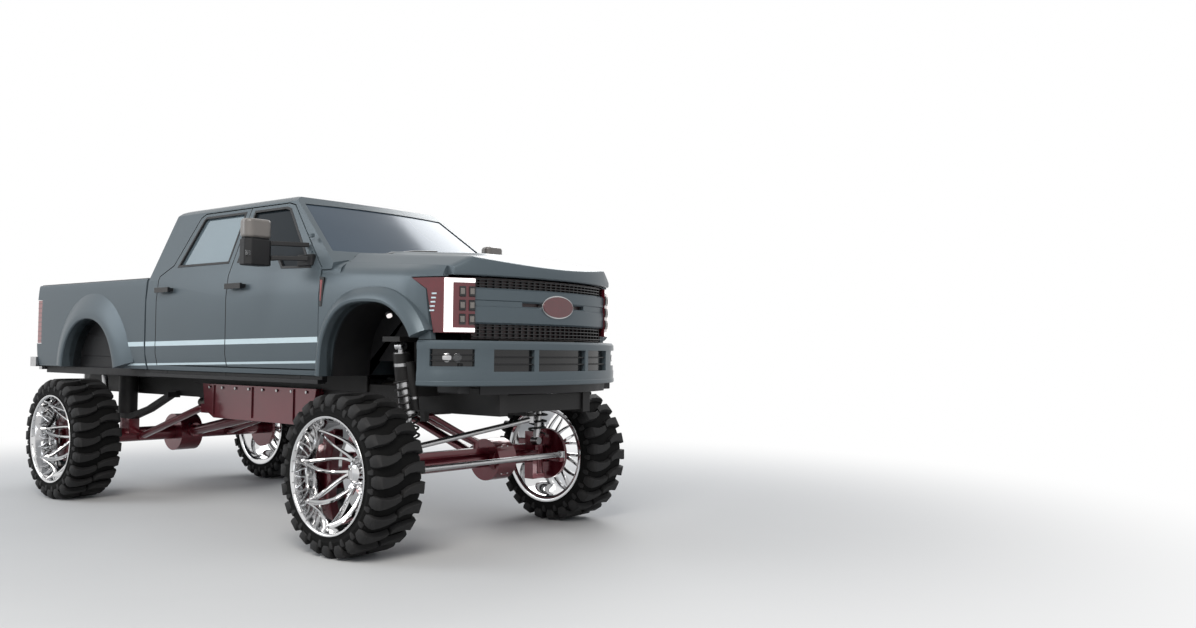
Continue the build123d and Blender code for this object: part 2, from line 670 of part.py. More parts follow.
# Front fenders with a step-out flare round each wheel opening
FRONT_OPENING = (
    (1682, 1100), (1700, 1400), (1800, 1590), (1960, 1706), (2360, 1706), (2500, 1640),
    (2650, 1480), (2672, 1440), (2672, 1100),
)
REAR_OPENING = (
    (-2335, 1100), (-2310, 1340), (-2210, 1530), (-2060, 1639), (-1680, 1639), (-1500, 1530),
    (-1370, 1340), (-1300, 1100),
)
FLARE_W = 80
FLARE_Y = 1022
FENDER_SECTIONS = (
    # x, lower y, mid y, shoulder z, crown y, crown z, inner edge z
    (FENDER_REAR_X, 945, 960, 1840, 932, 1955, 2025),
    (2450, 945, 960, 1805, 930, 1925, 1975),
    (FENDER_FRONT_X, 920, 938, 1790, 905, 1900, 1940),
)
with BuildPart() as fenders:
    for x, low_y, mid_y, shoulder_z, crown_y, crown_z, edge_z in FENDER_SECTIONS:
        with BuildSketch(Plane.YZ.offset(x)):
            with BuildLine():
                Polyline(
                    (low_y, SILL_Z), (mid_y, 1400), (mid_y, shoulder_z), (crown_y, crown_z),
                    (HOOD_EDGE_Y + PANEL_GAP, edge_z), (HOOD_EDGE_Y + PANEL_GAP, edge_z - FENDER_T),
                    (crown_y - FENDER_T, crown_z - FENDER_T), (mid_y - FENDER_T, shoulder_z - 20),
                    (mid_y - FENDER_T, 1400), (low_y - FENDER_T, SILL_Z), close=True,
                )
            make_face()
    loft(ruled=True)
    add(side_slab(FRONT_OPENING, 700, 1100), mode=Mode.SUBTRACT)
    add(side_slab(
        ((FENDER_FRONT_X + 20, 1455), (FENDER_FRONT_X + 20, 1870), (2540, 1870), (2740, 1790), (2792, 1455)),
        700, 1100,
    ), mode=Mode.SUBTRACT)
    add(block(2672, 3000, 700, 1100, 1100, 1455), mode=Mode.SUBTRACT)
    with BuildPart(mode=Mode.PRIVATE) as flare:
        add(grown_slab(FRONT_OPENING, FLARE_W, 935, FLARE_Y))
        add(side_slab(FRONT_OPENING, 700, 1100), mode=Mode.SUBTRACT)
        add(block(1000, 3300, 700, 1100, 900, SILL_Z), mode=Mode.SUBTRACT)
        add(block(2672, 3000, 700, 1100, 1100, 1455), mode=Mode.SUBTRACT)
    add(flare.part)
    with BuildPart(mode=Mode.PRIVATE) as liner:
        add(grown_slab(FRONT_OPENING, 12, 560, 915))
        add(side_slab(FRONT_OPENING, 500, 1100), mode=Mode.SUBTRACT)
        add(block(1000, 3300, 500, 1100, 900, SILL_Z + 10), mode=Mode.SUBTRACT)
        add(block(2665, 3000, 500, 1100, 900, 1455), mode=Mode.SUBTRACT)
    add(liner.part)
    add(block(CAB_FRONT_X + FIT, 1680, 780, 815, 1250, 1310))
    add(block(HOOD_PAD_X - 30, HOOD_PAD_X, HOOD_EDGE_Y - 22, HOOD_EDGE_Y + 20, 1935, HOOD_PAD_Z))
    mirror(about=Plane.XZ)
save(fenders, "front_fenders")

# Hood
HOOD_SECTIONS = (
    # x, edge half width, edge z, shoulder half width, shoulder z, centre z
    (HOOD_REAR_X, HOOD_EDGE_Y, 2020, 690, 2105, 2160),
    (2450, HOOD_EDGE_Y, 1975, 700, 2040, 2090),
    (HOOD_NOSE_X, 790, 1925, 690, 1945, 1960),
)
with BuildPart() as hood:
    for x, edge_y, edge_z, mid_y, mid_z, top_z in HOOD_SECTIONS:
        with BuildSketch(Plane.YZ.offset(x)):
            with BuildLine():
                Polyline(
                    (edge_y, edge_z), (mid_y, mid_z), (0, top_z), (-mid_y, mid_z), (-edge_y, edge_z),
                    (-edge_y, edge_z - HOOD_T), (-mid_y, mid_z - HOOD_T), (0, top_z - HOOD_T),
                    (mid_y, mid_z - HOOD_T), (edge_y, edge_z - HOOD_T), close=True,
                )
            make_face()
    loft(ruled=True)
    add(glasshouse(-COWL_GAP), mode=Mode.SUBTRACT)
save(hood, "hood")

# Grille with two bars and a bare oval, radiator behind it
with BuildPart() as grille:
    add(block(3010, 3050, -725, 725, 1461, 1872))
    add(block(3040, 3085, -722, 722, 1560, 1640))
    add(block(3040, 3085, -722, 722, 1725, 1805))
    with BuildSketch(Plane.YZ.offset(3040)):
        with Locations((0, 1683)):
            Ellipse(165, 75)
    extrude(amount=60)
    add(block(2770, 2860, -420, 420, 1200, 1800))
    add(block(2850, 3015, -60, 60, 1500, 1560))
    for side, side_name in SIDES:
        add(block(2790, 2840, side * 410, side * 470, RAIL_TOP + FIT, 1260))
        add(block(3012, 3048, side * 300, side * 340, 1860, 1884))
save(grille, "grille")

# Head lamps and tail lamps
with BuildPart() as lamps:
    for side, side_name in SIDES:
        lamp_y = 725 + FIT
        corners = ((2885, lamp_y), (3050, lamp_y), (3035, 790), (2890, 930), (2800, 925), (2800, 800))
        add(plan_slab([(x, side * y) for x, y in corners], 1500, 1862))
        add(block(-2999, -2900 - FIT, side * 800, side * 950, 1413, 1835))
save(lamps, "lamps")

# Front bumper
BUMPER_PLAN = (
    (NOSE_X, 560), (3090, 760), (2905, 950), (2690, 990), (2690, 930), (2860, 880), (2940, 700),
)
with BuildPart() as bumper:
    add(plan_slab(both(BUMPER_PLAN), BUMPER_LOW_Z, BUMPER_TOP_Z))
    for side, side_name in SIDES:
        add(block(3060, 3200, side * 30, side * 600, 1243, 1390), mode=Mode.SUBTRACT)
        add(block(2980, 3200, side * 746, side * 1000, 1279, 1393), mode=Mode.SUBTRACT)
save(bumper, "front_bumper")

# Bed: outer sides, inner box and wheel boxes
with BuildPart() as bed:
    add(lower_body(0, BED_REAR_X, BED_FRONT_X))
    add(plan_slab(((BED_REAR_X, -BELT_Y), (BED_FRONT_X, -BELT_Y), (BED_FRONT_X, BELT_Y), (BED_REAR_X, BELT_Y)), BELT_Z, BED_RAIL_Z))
    add(block(BED_REAR_X + TAILGATE_T + 10, BED_FRONT_X - 50, -BED_IN_Y, BED_IN_Y, BED_FLOOR_Z, 2100), mode=Mode.SUBTRACT)
    gate_cut = TAILGATE_HALF_W + PANEL_GAP
    add(block(BED_REAR_X - 10, -2500, -gate_cut, gate_cut, BED_FLOOR_Z, 2100), mode=Mode.SUBTRACT)
    add(block(BED_REAR_X - 10, -2900, -gate_cut, gate_cut, BED_FLOOR_Z - 25, 2100), mode=Mode.SUBTRACT)
    for side, side_name in SIDES:
        add(side_slab(REAR_OPENING, side * 850, side * 1100), mode=Mode.SUBTRACT)
        add(block(BED_REAR_X - 10, -2900, side * 795, side * 1000, 1405, 1843), mode=Mode.SUBTRACT)
        add(block(-2300, -1300, side * 560, side * 840, 1280, 1500))
        with BuildPart(mode=Mode.PRIVATE) as flare:
            add(grown_slab(REAR_OPENING, FLARE_W, side * 935, side * FLARE_Y))
            add(side_slab(REAR_OPENING, side * 700, side * 1100), mode=Mode.SUBTRACT)
            add(block(-3200, -1000, side * 700, side * 1100, 900, SILL_Z), mode=Mode.SUBTRACT)
        add(flare.part)
        add(rod((GATE_PIN_X, side * 776, GATE_PIN_Z), (GATE_PIN_X, side * 805, GATE_PIN_Z), GATE_PIN_R))
save(bed, "bed")

with BuildPart() as tailgate:
    add(block(BED_REAR_X, BED_REAR_X + TAILGATE_T, -TAILGATE_HALF_W, TAILGATE_HALF_W, BED_FLOOR_Z + 6, BED_RAIL_Z))
    fillet(tailgate.edges().group_by(Axis.Z)[0].filter_by(Axis.Y).sort_by(Axis.X)[0], radius=28)
    for side, side_name in SIDES:
        add(rod(
            (GATE_PIN_X, side * 772, GATE_PIN_Z), (GATE_PIN_X, side * 800, GATE_PIN_Z), GATE_PIN_R + FIT,
        ), mode=Mode.SUBTRACT)
save(tailgate, "tailgate")

with BuildPart() as rear_bumper:
    add(block(-3130, -3006, -960, 960, 1180, 1275))
    add(block(-3010, RAIL_REAR_X - FIT, -480, 480, 990, 1185))
    add(block(-3070, -3006, -900, 900, 1150, 1189))
save(rear_bumper, "rear_bumper")

with BuildPart() as steps:
    for side, side_name in SIDES:
        add(block(CAB_REAR_X, CAB_FRONT_X, side * 880, side * 950, 1130, 1160))
        for x in (-600, 300, 1300):
            add(block(x - 25, x + 25, side * 870, side * 910, 1155, SILL_Z - 0.5))
save(steps, "side_steps")

# Seats and dashboard
with BuildPart() as seats:
    for y in (400, -400):
        add(block(500, 1010, y - 260, y + 260, FLOOR_TOP_Z + 0.5, 1620))
        add(side_slab(((500, 1500), (640, 1500), (560, 2130), (440, 2130)), y - 250, y + 250))
        add(block(420, 520, y - 130, y + 130, 2120, 2290))
    add(block(-560, -60, -680, 680, FLOOR_TOP_Z + 0.5, 1640))
    add(side_slab(((-560, 1500), (-420, 1500), (-540, 2150), (-660, 2150)), -680, 680))
save(seats, "seats")
with BuildPart() as dashboard:
    add(side_slab(((1250, 1700), (1250, 1950), (1400, 2010), (1570 - FIT, 1950), (1570 - FIT, 1700)), -780, 780))
    add(rod((1260, 400, 1850), (1080, 400, 1930), 25))
    with BuildSketch(Plane(origin=(1080, 400, 1930), x_dir=(0, 1, 0), z_dir=(-180, 0, 80))):
        Circle(190)
        Circle(160, mode=Mode.SUBTRACT)
        Rectangle(330, 40)
        Rectangle(40, 330)
    extrude(amount=26)
save(dashboard, "dashboard")
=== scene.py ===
# %% [markdown]
# This lesson dresses a lifted crew-cab pickup truck. The CAD frame gives every solid at its real size. Where
# the frame is plain, the piece is made again here with the curves of pressed metal. What repeats, such as
# tread blocks and spokes, is made by Geometry Nodes.

import json
from math import cos, pi, radians, sin

import bmesh
import bpy
from mathutils import Matrix, Vector

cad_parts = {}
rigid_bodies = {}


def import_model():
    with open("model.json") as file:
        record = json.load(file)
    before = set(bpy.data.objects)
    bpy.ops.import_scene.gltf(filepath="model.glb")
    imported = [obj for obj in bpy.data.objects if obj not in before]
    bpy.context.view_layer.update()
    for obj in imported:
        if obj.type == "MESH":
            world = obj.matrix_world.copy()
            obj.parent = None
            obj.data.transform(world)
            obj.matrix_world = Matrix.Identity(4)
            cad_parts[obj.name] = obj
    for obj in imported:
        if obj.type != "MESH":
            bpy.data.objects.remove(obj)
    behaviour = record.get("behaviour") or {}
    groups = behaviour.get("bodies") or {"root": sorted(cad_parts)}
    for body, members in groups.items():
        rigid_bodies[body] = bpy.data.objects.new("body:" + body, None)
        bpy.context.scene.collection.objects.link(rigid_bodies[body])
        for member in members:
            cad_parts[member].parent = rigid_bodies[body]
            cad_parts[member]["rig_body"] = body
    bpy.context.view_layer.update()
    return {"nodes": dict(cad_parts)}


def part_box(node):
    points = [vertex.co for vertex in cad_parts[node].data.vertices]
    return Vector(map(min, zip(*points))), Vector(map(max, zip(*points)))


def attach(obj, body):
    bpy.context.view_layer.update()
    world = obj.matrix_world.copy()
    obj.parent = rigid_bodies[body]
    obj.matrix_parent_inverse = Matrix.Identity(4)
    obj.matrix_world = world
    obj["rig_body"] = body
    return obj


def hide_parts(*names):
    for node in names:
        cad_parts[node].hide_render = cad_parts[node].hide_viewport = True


SIDES = ((1, "left"), (-1, "right"))
PLACES = ("front_left", "front_right", "rear_left", "rear_right")

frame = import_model()

# %% [markdown]
# A finish is a Principled shader whose colour, roughness and bump come from noise on Object coordinates. Two
# tones that lie close together keep a surface from looking like flat plastic, and the fine bump breaks up its
# highlights as cast, coated or moulded surfaces do.

# %% A helper for finishes


def add_node(tree, kind, inputs, **settings):
    """A new node; each of its inputs takes a value or the output of another node."""
    node = tree.nodes.new(kind)
    for setting, value in settings.items():
        setattr(node, setting, value)
    for place, value in inputs.items():
        if isinstance(value, bpy.types.NodeSocket):
            tree.links.new(value, node.inputs[place])
        else:
            node.inputs[place].default_value = value
    return node


def finish(name, dark, light, patch, rough, grain, bump, depth=0.0005, **sockets):
    """A procedural material: two tones by patch size, a range of roughness and a fine grain."""
    material = bpy.data.materials.new(name)
    material.use_nodes = True
    tree = material.node_tree
    place = add_node(tree, "ShaderNodeTexCoord", {}).outputs["Object"]
    noise = add_node(tree, "ShaderNodeTexNoise", {"Vector": place, "Scale": patch, "Detail": 6})
    cloud = noise.outputs["Fac"]
    tone = add_node(tree, "ShaderNodeMix", {"Factor": cloud, "A": (*dark, 1), "B": (*light, 1)},
                    data_type="RGBA")
    dullness = add_node(tree, "ShaderNodeMapRange", {"Value": cloud, "To Min": rough[0], "To Max": rough[1]})
    speck = add_node(tree, "ShaderNodeTexNoise", {"Vector": place, "Scale": grain}).outputs["Fac"]
    relief = add_node(tree, "ShaderNodeBump", {"Height": speck, "Strength": bump, "Distance": depth})
    shader = tree.nodes["Principled BSDF"]
    for socket, value in sockets.items():
        shader.inputs[socket.replace("_", " ")].default_value = value
    tree.links.new(tone.outputs["Result"], shader.inputs["Base Color"])
    tree.links.new(dullness.outputs["Result"], shader.inputs["Roughness"])
    tree.links.new(relief.outputs["Normal"], shader.inputs["Normal"])
    return material


# %% [markdown]
# The truck has few finishes: slate metallic paint under clear lacquer, textured black plastic, candy-red
# powder coat on axles and links, polished wheels, rubber, satin black frame paint, machined steel and tinted
# glass. Some colours hold painted light: pale lines for the highlights of the body's creases, pale glass
# for a sky reflection and the darkest black for shade in the rear arches.

# %% The finishes
slate_paint = finish("slate_paint", (0.078, 0.100, 0.113), (0.090, 0.114, 0.129), 2.0, (0.32, 0.38), 2400,
                     0.03, 0.0002, Metallic=0.3, Coat_Weight=0.1, Coat_Roughness=0.25, Specular_IOR_Level=0.2)
# painted highlight: the pale lines along the body's creases take this colour for the light they catch; the
# lamp's pale rungs take it too
highlight_and_trim_paint = finish("highlight_and_trim_paint", (0.50, 0.62, 0.66), (0.58, 0.70, 0.74), 4.0, (0.3, 0.4), 900, 0.03,
                    Coat_Weight=0.5)
black_plastic = finish("black_plastic", (0.007, 0.007, 0.008), (0.014, 0.014, 0.015), 9.0, (0.42, 0.6), 700,
                       0.5, Specular_IOR_Level=0.3)
gloss_black = finish("gloss_black", (0.006, 0.006, 0.007), (0.010, 0.010, 0.011), 5.0, (0.10, 0.18), 500,
                     0.05)
grey_plastic = finish("grey_plastic", (0.13, 0.118, 0.108), (0.16, 0.146, 0.134), 9.0, (0.3, 0.42), 700, 0.2,
                      Coat_Weight=0.3)
cabin_trim = finish("cabin_trim", (0.020, 0.020, 0.021), (0.034, 0.033, 0.033), 12.0, (0.6, 0.8), 500, 0.6)
red_coat = finish("red_coat", (0.105, 0.006, 0.014), (0.155, 0.010, 0.020), 5.0, (0.24, 0.36), 900, 0.1,
                  Metallic=0.5, Coat_Weight=0.9, Coat_Roughness=0.08)
frame_black = finish("frame_black", (0.007, 0.007, 0.008), (0.014, 0.013, 0.012), 4.0, (0.4, 0.6), 400, 0.3,
                     Specular_IOR_Level=0.3)
cast_metal = finish("cast_metal", (0.050, 0.050, 0.052), (0.085, 0.083, 0.080), 14.0, (0.45, 0.65), 260, 0.8,
                    0.002, Metallic=0.8)
steel = finish("steel", (0.42, 0.42, 0.43), (0.54, 0.54, 0.54), 20.0, (0.22, 0.36), 600, 0.1, Metallic=1.0)
dull_steel = finish("dull_steel", (0.22, 0.20, 0.18), (0.34, 0.32, 0.30), 7.0, (0.35, 0.55), 300, 0.3,
                    Metallic=1.0)
polished = finish("polished", (0.62, 0.62, 0.63), (0.74, 0.74, 0.74), 16.0, (0.04, 0.10), 900, 0.02,
                  Metallic=1.0)
rubber = finish("rubber", (0.008, 0.008, 0.009), (0.015, 0.0145, 0.014), 7.0, (0.6, 0.8), 420, 0.6, 0.0008,
                Specular_IOR_Level=0.35)
# the tyre's rubber body, and also painted shade on the inner wall deep in each rear arch
darkest_rubber_and_shade = finish("darkest_rubber_and_shade", (0.002, 0.002, 0.002), (0.004, 0.004, 0.004), 7.0, (0.8, 0.95), 420, 0.7,
                     0.0008, Specular_IOR_Level=0.2)
leather = finish("leather", (0.020, 0.019, 0.019), (0.032, 0.030, 0.029), 9.0, (0.42, 0.58), 260, 0.8, 0.001)
dark_red = finish("dark_red", (0.075, 0.006, 0.010), (0.115, 0.010, 0.016), 9.0, (0.16, 0.24), 500, 0.1,
                  Coat_Weight=0.6)
mesh_red = finish("mesh_red", (0.018, 0.006, 0.007), (0.036, 0.008, 0.010), 30.0, (0.3, 0.45), 500, 0.3)
tail_red = finish("tail_red", (0.16, 0.008, 0.010), (0.24, 0.012, 0.016), 30.0, (0.08, 0.16), 120, 0.5,
                  Coat_Weight=1.0)
dark_glass = finish("dark_glass", (0.016, 0.021, 0.026), (0.022, 0.029, 0.035), 2.0, (0.01, 0.03), 30, 0.0,
                    Transmission_Weight=0.12, IOR=1.18)
screen_glass = finish("screen_glass", (0.050, 0.072, 0.098), (0.066, 0.092, 0.122), 2.0, (0.13, 0.17), 30,
                      0.0, Metallic=0.3, IOR=1.2)
# painted reflection: the pale blue stands in for the sky mirrored in the rear windows and the mirror glasses
painted_sky_reflection_glass = finish("painted_sky_reflection_glass", (0.20, 0.26, 0.30), (0.27, 0.35, 0.39), 1.4, (0.02, 0.05), 30, 0.0,
                   Metallic=0.55, Coat_Weight=0.5)
clear_lens = finish("clear_lens", (0.80, 0.82, 0.84), (0.86, 0.88, 0.90), 3.0, (0.02, 0.05), 60, 0.02,
                    Transmission_Weight=0.95, IOR=1.3)
white_lamp = finish("white_lamp", (0.70, 0.69, 0.68), (0.78, 0.77, 0.76), 8.0, (0.2, 0.3), 90, 0.05,
                    Emission_Color=(1.0, 0.95, 0.93, 1), Emission_Strength=0.9)
print("finishes", len(bpy.data.materials))

# %% [markdown]
# Shapes are given in millimetres, as a body engineer reads them. A solid runs through matching loops of
# corners, a prism is an outline seen from the side, the front or above, and a carved solid loses what its
# cutters cover.

# %% Helpers for solids


def own_mesh(name, mesh):
    """A new object at the origin that holds this mesh."""
    piece = bpy.data.objects.new(name, mesh)
    bpy.context.scene.collection.objects.link(piece)
    return piece


def plain(piece):
    """The plain mesh of an object with its modifiers; the object goes."""
    bpy.context.view_layer.update()
    graph = bpy.context.evaluated_depsgraph_get()
    mesh = bpy.data.meshes.new_from_object(piece.evaluated_get(graph))
    bpy.data.objects.remove(piece)
    return mesh


def solid_of(loops, ring=False):
    """A closed solid through matching loops of corners; a ring joins its last loop to its first."""
    shape = bmesh.new()
    rows = [[shape.verts.new(Vector(corner) / 1000) for corner in loop] for loop in loops]
    for near, far in zip(rows, rows[1:] + rows[:1] if ring else rows[1:]):
        for spot in range(len(near)):
            shape.faces.new((near[spot - 1], near[spot], far[spot], far[spot - 1]))
    if not ring:
        shape.faces.new(rows[0])
        shape.faces.new(rows[-1])
    bmesh.ops.recalc_face_normals(shape, faces=shape.faces)
    mesh = bpy.data.meshes.new("solid")
    shape.to_mesh(mesh)
    shape.free()
    return mesh


def prism(view, points, low, high):
    """An outline seen from the side (x, z), the front (y, z) or above (x, y), from low to high."""
    if view == "side":
        return solid_of([[(a, depth, b) for a, b in points] for depth in (low, high)])
    if view == "front":
        return solid_of([[(depth, a, b) for a, b in points] for depth in (low, high)])
    return solid_of([[(a, b, depth) for a, b in points] for depth in (low, high)])


def box(x0, x1, y0, y1, z0, z1, side=1):
    """A box by its limits; side -1 puts it on the truck's right."""
    return prism("above", ((x0, side * y0), (x1, side * y0), (x1, side * y1), (x0, side * y1)), z0, z1)


def both_boxes(x0, x1, y0, y1, z0, z1):
    """The same box on both sides of the truck."""
    return box(x0, x1, y0, y1, z0, z1), box(x0, x1, -y1, -y0, z0, z1)


def both_prisms(outline, low, high):
    """The same outline seen from the side, from low to high on both sides of the truck."""
    return prism("side", outline, low, high), prism("side", outline, -high, -low)


def whole(half, *middle):
    """An outline seen from the front, from its left half and any points between the halves."""
    return [*half, *middle, *[(-y, z) for y, z in reversed(half)]]


def carved(mesh, *cutters, how="DIFFERENCE"):
    """The solid less its cutters, or what it shares with them."""
    for cutter_mesh in cutters:
        piece, cutter = own_mesh("carved", mesh), own_mesh("cutter", cutter_mesh)
        change = piece.modifiers.new("cut", "BOOLEAN")
        change.operation = how
        change.solver = "EXACT"
        change.object = cutter
        mesh = plain(piece)
        bpy.data.objects.remove(cutter)
    return mesh


def both(parts):
    """The (mesh, finish) pairs with their mirror copies on the truck's right side."""
    copies = []
    for mesh, skin in parts:
        copy = mesh.copy()
        copy.transform(Matrix.Scale(-1, 4, (0, 1, 0)))
        copy.flip_normals()
        copies.append((copy, skin))
    return parts + copies


def eased(points, rounds=2):
    """An open line with its corners cut (Chaikin), so that straight runs turn into curves."""
    for _ in range(rounds):
        cut = [(a[0] * s + b[0] * (1 - s), a[1] * s + b[1] * (1 - s))
               for a, b in zip(points, points[1:]) for s in (0.75, 0.25)]
        points = [points[0]] + cut[1:-1] + [points[-1]]
    return points


def level(table, at, reach=0):
    """Reads a table of (place, value) rows, rounding its corners over the reach."""
    if reach:
        return sum(level(table, at + reach * share / 3) for share in range(-3, 4)) / 7
    for (a, low), (b, high) in zip(table, table[1:]):
        if at <= b or (b, high) == table[-1]:
            return low + (high - low) * (at - a) / (b - a)


def bow_x(bow, y):
    """The x of a bow across the truck, which is (x in the middle, drop at its ends, half width)."""
    middle, drop, half = bow
    return middle - drop * (y / half) ** 2


def bow_line(bow, low=None, high=None, steps=24):
    """Points seen from above along a bow, from its left end to its right or between two places."""
    low, high = (-bow[2] if low is None else low), (bow[2] if high is None else high)
    ys = [low + (high - low) * share / steps for share in range(steps + 1)]
    return [(bow_x(bow, y), y) for y in reversed(ys)]


def outward(path):
    """Each point of an open path with the direction to its left."""
    for spot, (a, b) in enumerate(path):
        before, after = path[max(spot - 1, 0)], path[min(spot + 1, len(path) - 1)]
        way = Vector((after[0] - before[0], after[1] - before[1])).normalized()
        yield a, b, -way.y, way.x


def plan_sweep(path, profile):
    """A bar that follows a path seen from above; the profile is (distance out, height)."""
    return solid_of([[(x + dx * d, y + dy * d, z) for d, z in profile] for x, y, dx, dy in outward(path)])


def side_sweep(path, profile):
    """A moulding that follows a path seen from the side; the profile is (distance out, y)."""
    return solid_of([[(x + dx * d, y, z + dz * d) for d, y in profile] for x, z, dx, dz in outward(path)])


def bar(path, low, high, back, proud, soft):
    """A bar along a path seen from above, with two eased front corners."""
    return plan_sweep(path, ((back, low), (proud - soft, low), (proud, low + soft), (proud, high - soft),
                             (proud - soft, high), (back, high)))


# %% [markdown]
# A finished piece is one object from several meshes, each with its finish. A small bevel with hardened
# normals gives each sharp edge the soft highlight of pressed or cast metal.

# %% Helpers for finished pieces
SHARP = radians(28)  # the bevel takes edges that turn by more


def joined(name, parts, smooth=32):
    """One mesh from (mesh, finish) pairs."""
    pieces = []
    for mesh, skin in parts:
        mesh.materials.clear()
        mesh.materials.append(skin)
        for face in mesh.polygons:
            face.material_index = 0
        pieces.append(own_mesh("part", mesh))
    with bpy.context.temp_override(active_object=pieces[0], selected_editable_objects=pieces):
        bpy.ops.object.join()
    mesh = pieces[0].data
    mesh.name = name
    bpy.data.objects.remove(pieces[0])
    mesh.shade_smooth()
    mesh.set_sharp_from_angle(angle=radians(smooth))
    return mesh


def lined(mesh, *others):
    """The faces for which a rule of centre and normal is true take that rule's finish."""
    for index, (skin, rule) in enumerate(others, len(mesh.materials)):
        mesh.materials.append(skin)
        for face in mesh.polygons:
            if rule(face.center, face.normal):
                face.material_index = index
    return mesh


def placed(name, parts, body, node=None, edge=0.003, others=()):
    """A finished piece from (mesh, finish) pairs that rides on a body and may replace a CAD node."""
    piece = own_mesh(name, lined(joined(name, parts), *others))
    if edge:
        bevel = piece.modifiers.new("edges", "BEVEL")
        bevel.width, bevel.segments = edge, 2
        bevel.limit_method, bevel.angle_limit = "ANGLE", SHARP
        bevel.harden_normals = True
    if node:
        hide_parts(node)
    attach(piece, body)


def cad_copy(node):
    """The node's mesh with its doubles merged and its flat triangles joined."""
    shape = bmesh.new()
    shape.from_mesh(frame["nodes"][node].data)
    bmesh.ops.remove_doubles(shape, verts=shape.verts, dist=0.00002)
    bmesh.ops.dissolve_limit(
        shape, angle_limit=radians(0.6), verts=shape.verts, edges=shape.edges, delimit=set(),
    )
    mesh = bpy.data.meshes.new(node + "_look")
    shape.to_mesh(mesh)
    shape.free()
    if "custom_normal" in mesh.attributes:
        mesh.attributes.remove(mesh.attributes["custom_normal"])
    return mesh


def dressed(node, skin, edge, *others, less=()):
    """The CAD node's copy in its finish, less any cutters; others are (finish, rule) pairs."""
    parts = [(carved(cad_copy(node), *less), skin)]
    placed(node + "_look", parts, frame["nodes"][node]["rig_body"], node, edge=edge, others=others)


# %% [markdown]
# The cab's outer form is the space that a leaning windscreen curve, a front view and a side view share. It is
# drawn again further in for the inside, and the doors, the windscreen and the rear window are cut from the
# sheet between the two. A face that looks towards the cabin's middle takes the dark trim.

# %% Cab
CABIN_MIDDLE = Vector((0.4, 0, 1.9))
BELT = 1960
SCREEN_BOW = (1925, 195, 1074)
SCREEN_LEAN = 1.44  # how far the windscreen leans back for its rise
BODY_SIDE = ((1190, 928), (1330, 958), (1780, 960), (1960, 942), (2530, 735))
CROWN = ((942, 1960), (750, 2490), (731, 2541), (700, 2567), (655, 2586), (590, 2597), (480, 2606),
         (300, 2615), (140, 2619))
ROOF_TOP = 2620
ROOF_LINE = ((-860, 1960), (-770, 2530), (-752, 2560), (-722, 2580), (-640, 2591), (-350, 2608), (-120, 2617),
             (50, 2620), (300, 2619), (520, 2613), (700, 2603), (860, 2589), (1000, 2572), (1120, 2558))
FRONT_DOOR = [(389, 1235), (1590, 1235), (1590, 1975), (1545, 2010), (985, 2500), (900, 2522), (389, 2522)]
REAR_DOOR = [(-690, 1235), (381, 1235), (381, 2522), (-300, 2522), (-360, 2490), (-520, 2080), (-690, 1990)]
FRONT_WINDOW = [(458, 2074), (1010, 2070), (1090, 2000), (1440, 1990), (940, 2468), (880, 2485), (458, 2485)]
REAR_WINDOW = [(-434, 2074), (318, 2074), (318, 2485), (-270, 2485), (-290, 2470)]
DOOR_GAP = 8
SHEET, GLASS_OUT, GLASS_IN = 45, 12, 18  # how deep the cab's inside and the glass's two faces lie


def grown(points, amount):
    """The corners of an anticlockwise outline that is larger all round by the amount."""
    corners = []
    for spot, here in enumerate(points):
        before, after = points[spot - 1], points[(spot + 1) % len(points)]
        ways = [Vector((here[0] - before[0], here[1] - before[1])).normalized(),
                Vector((after[0] - here[0], after[1] - here[1])).normalized()]
        outs = [Vector((way.y, -way.x)) for way in ways]
        mitre = (outs[0] + outs[1]).normalized()
        reach = amount / max(0.4, mitre.dot(outs[0]))
        corners.append((here[0] + mitre.x * reach, here[1] + mitre.y * reach))
    return corners


def glasshouse(depth):
    """The cab's form above the belt line, drawn in by the depth."""
    front, drop, half_w = SCREEN_BOW
    plan = bow_line((front - depth, drop, half_w), steps=40) + [(-3500, -half_w), (-3500, half_w)]
    leaning = solid_of([[(x - SCREEN_LEAN * rise, y, BELT + rise) for x, y in plan] for rise in (-1, 900)])
    half = [(y - depth, z - depth * (z > 2545)) for y, z in CROWN]
    along = [(x + depth * (x < -600), z - depth * (z > 2535)) for x, z in ROOF_LINE] + [(2400, BELT)]
    return carved(leaning, prism("front", whole(half, (0, ROOF_TOP - depth)), -1500, 2500),
                  prism("side", along, -1100, 1100), how="INTERSECT")


def faces_cabin(centre, normal):
    """True for a face that looks into the cabin and lies within its walls."""
    inward = (CABIN_MIDDLE - centre).dot(normal) > 0
    return inward and abs(centre.y) < 0.93 and centre.z < 2.6


def side_y(side, z, proud):
    """How far across the body's side lies at a height, plus what stands proud of it."""
    return side * (level(BODY_SIDE, z) + proud)


screen_holes = [prism("front", ((-845, 2105), (845, 2105), (700, 2512), (-700, 2512)), 600, 2100),
                prism("front", ((-700, 2080), (700, 2080), (610, 2450), (-610, 2450)), -900, -700)]
door_cuts = [cut for door in (FRONT_DOOR, REAR_DOOR) for cut in both_prisms(grown(door, DOOR_GAP), 500, 1100)]
upper = carved(glasshouse(0), glasshouse(SHEET), *both_boxes(1712, 2300, 792, 1100, 1000, 2075), *door_cuts,
               *screen_holes)
lower = carved(prism("front", whole([(y, z) for z, y in BODY_SIDE[:4]]), -860, 1590),
               box(-790, 1570, -850, 850, 1260, 2100),
               *[carved(cut, box(-1000, 2000, -845, 845, 1000, 1920)) for cut in door_cuts])
posts = []
for side in (1, -1):
    for x0, x1 in ((335, 435), (-700, -640)):
        corners = ((x0, -112), (x1, -112), (x1, -62), (x0, -62))
        posts.append((solid_of([[(x, side_y(side, z, proud), z) for x, proud in corners]
                                for z in (1262, 1780, 1960, 2520)]), cabin_trim))
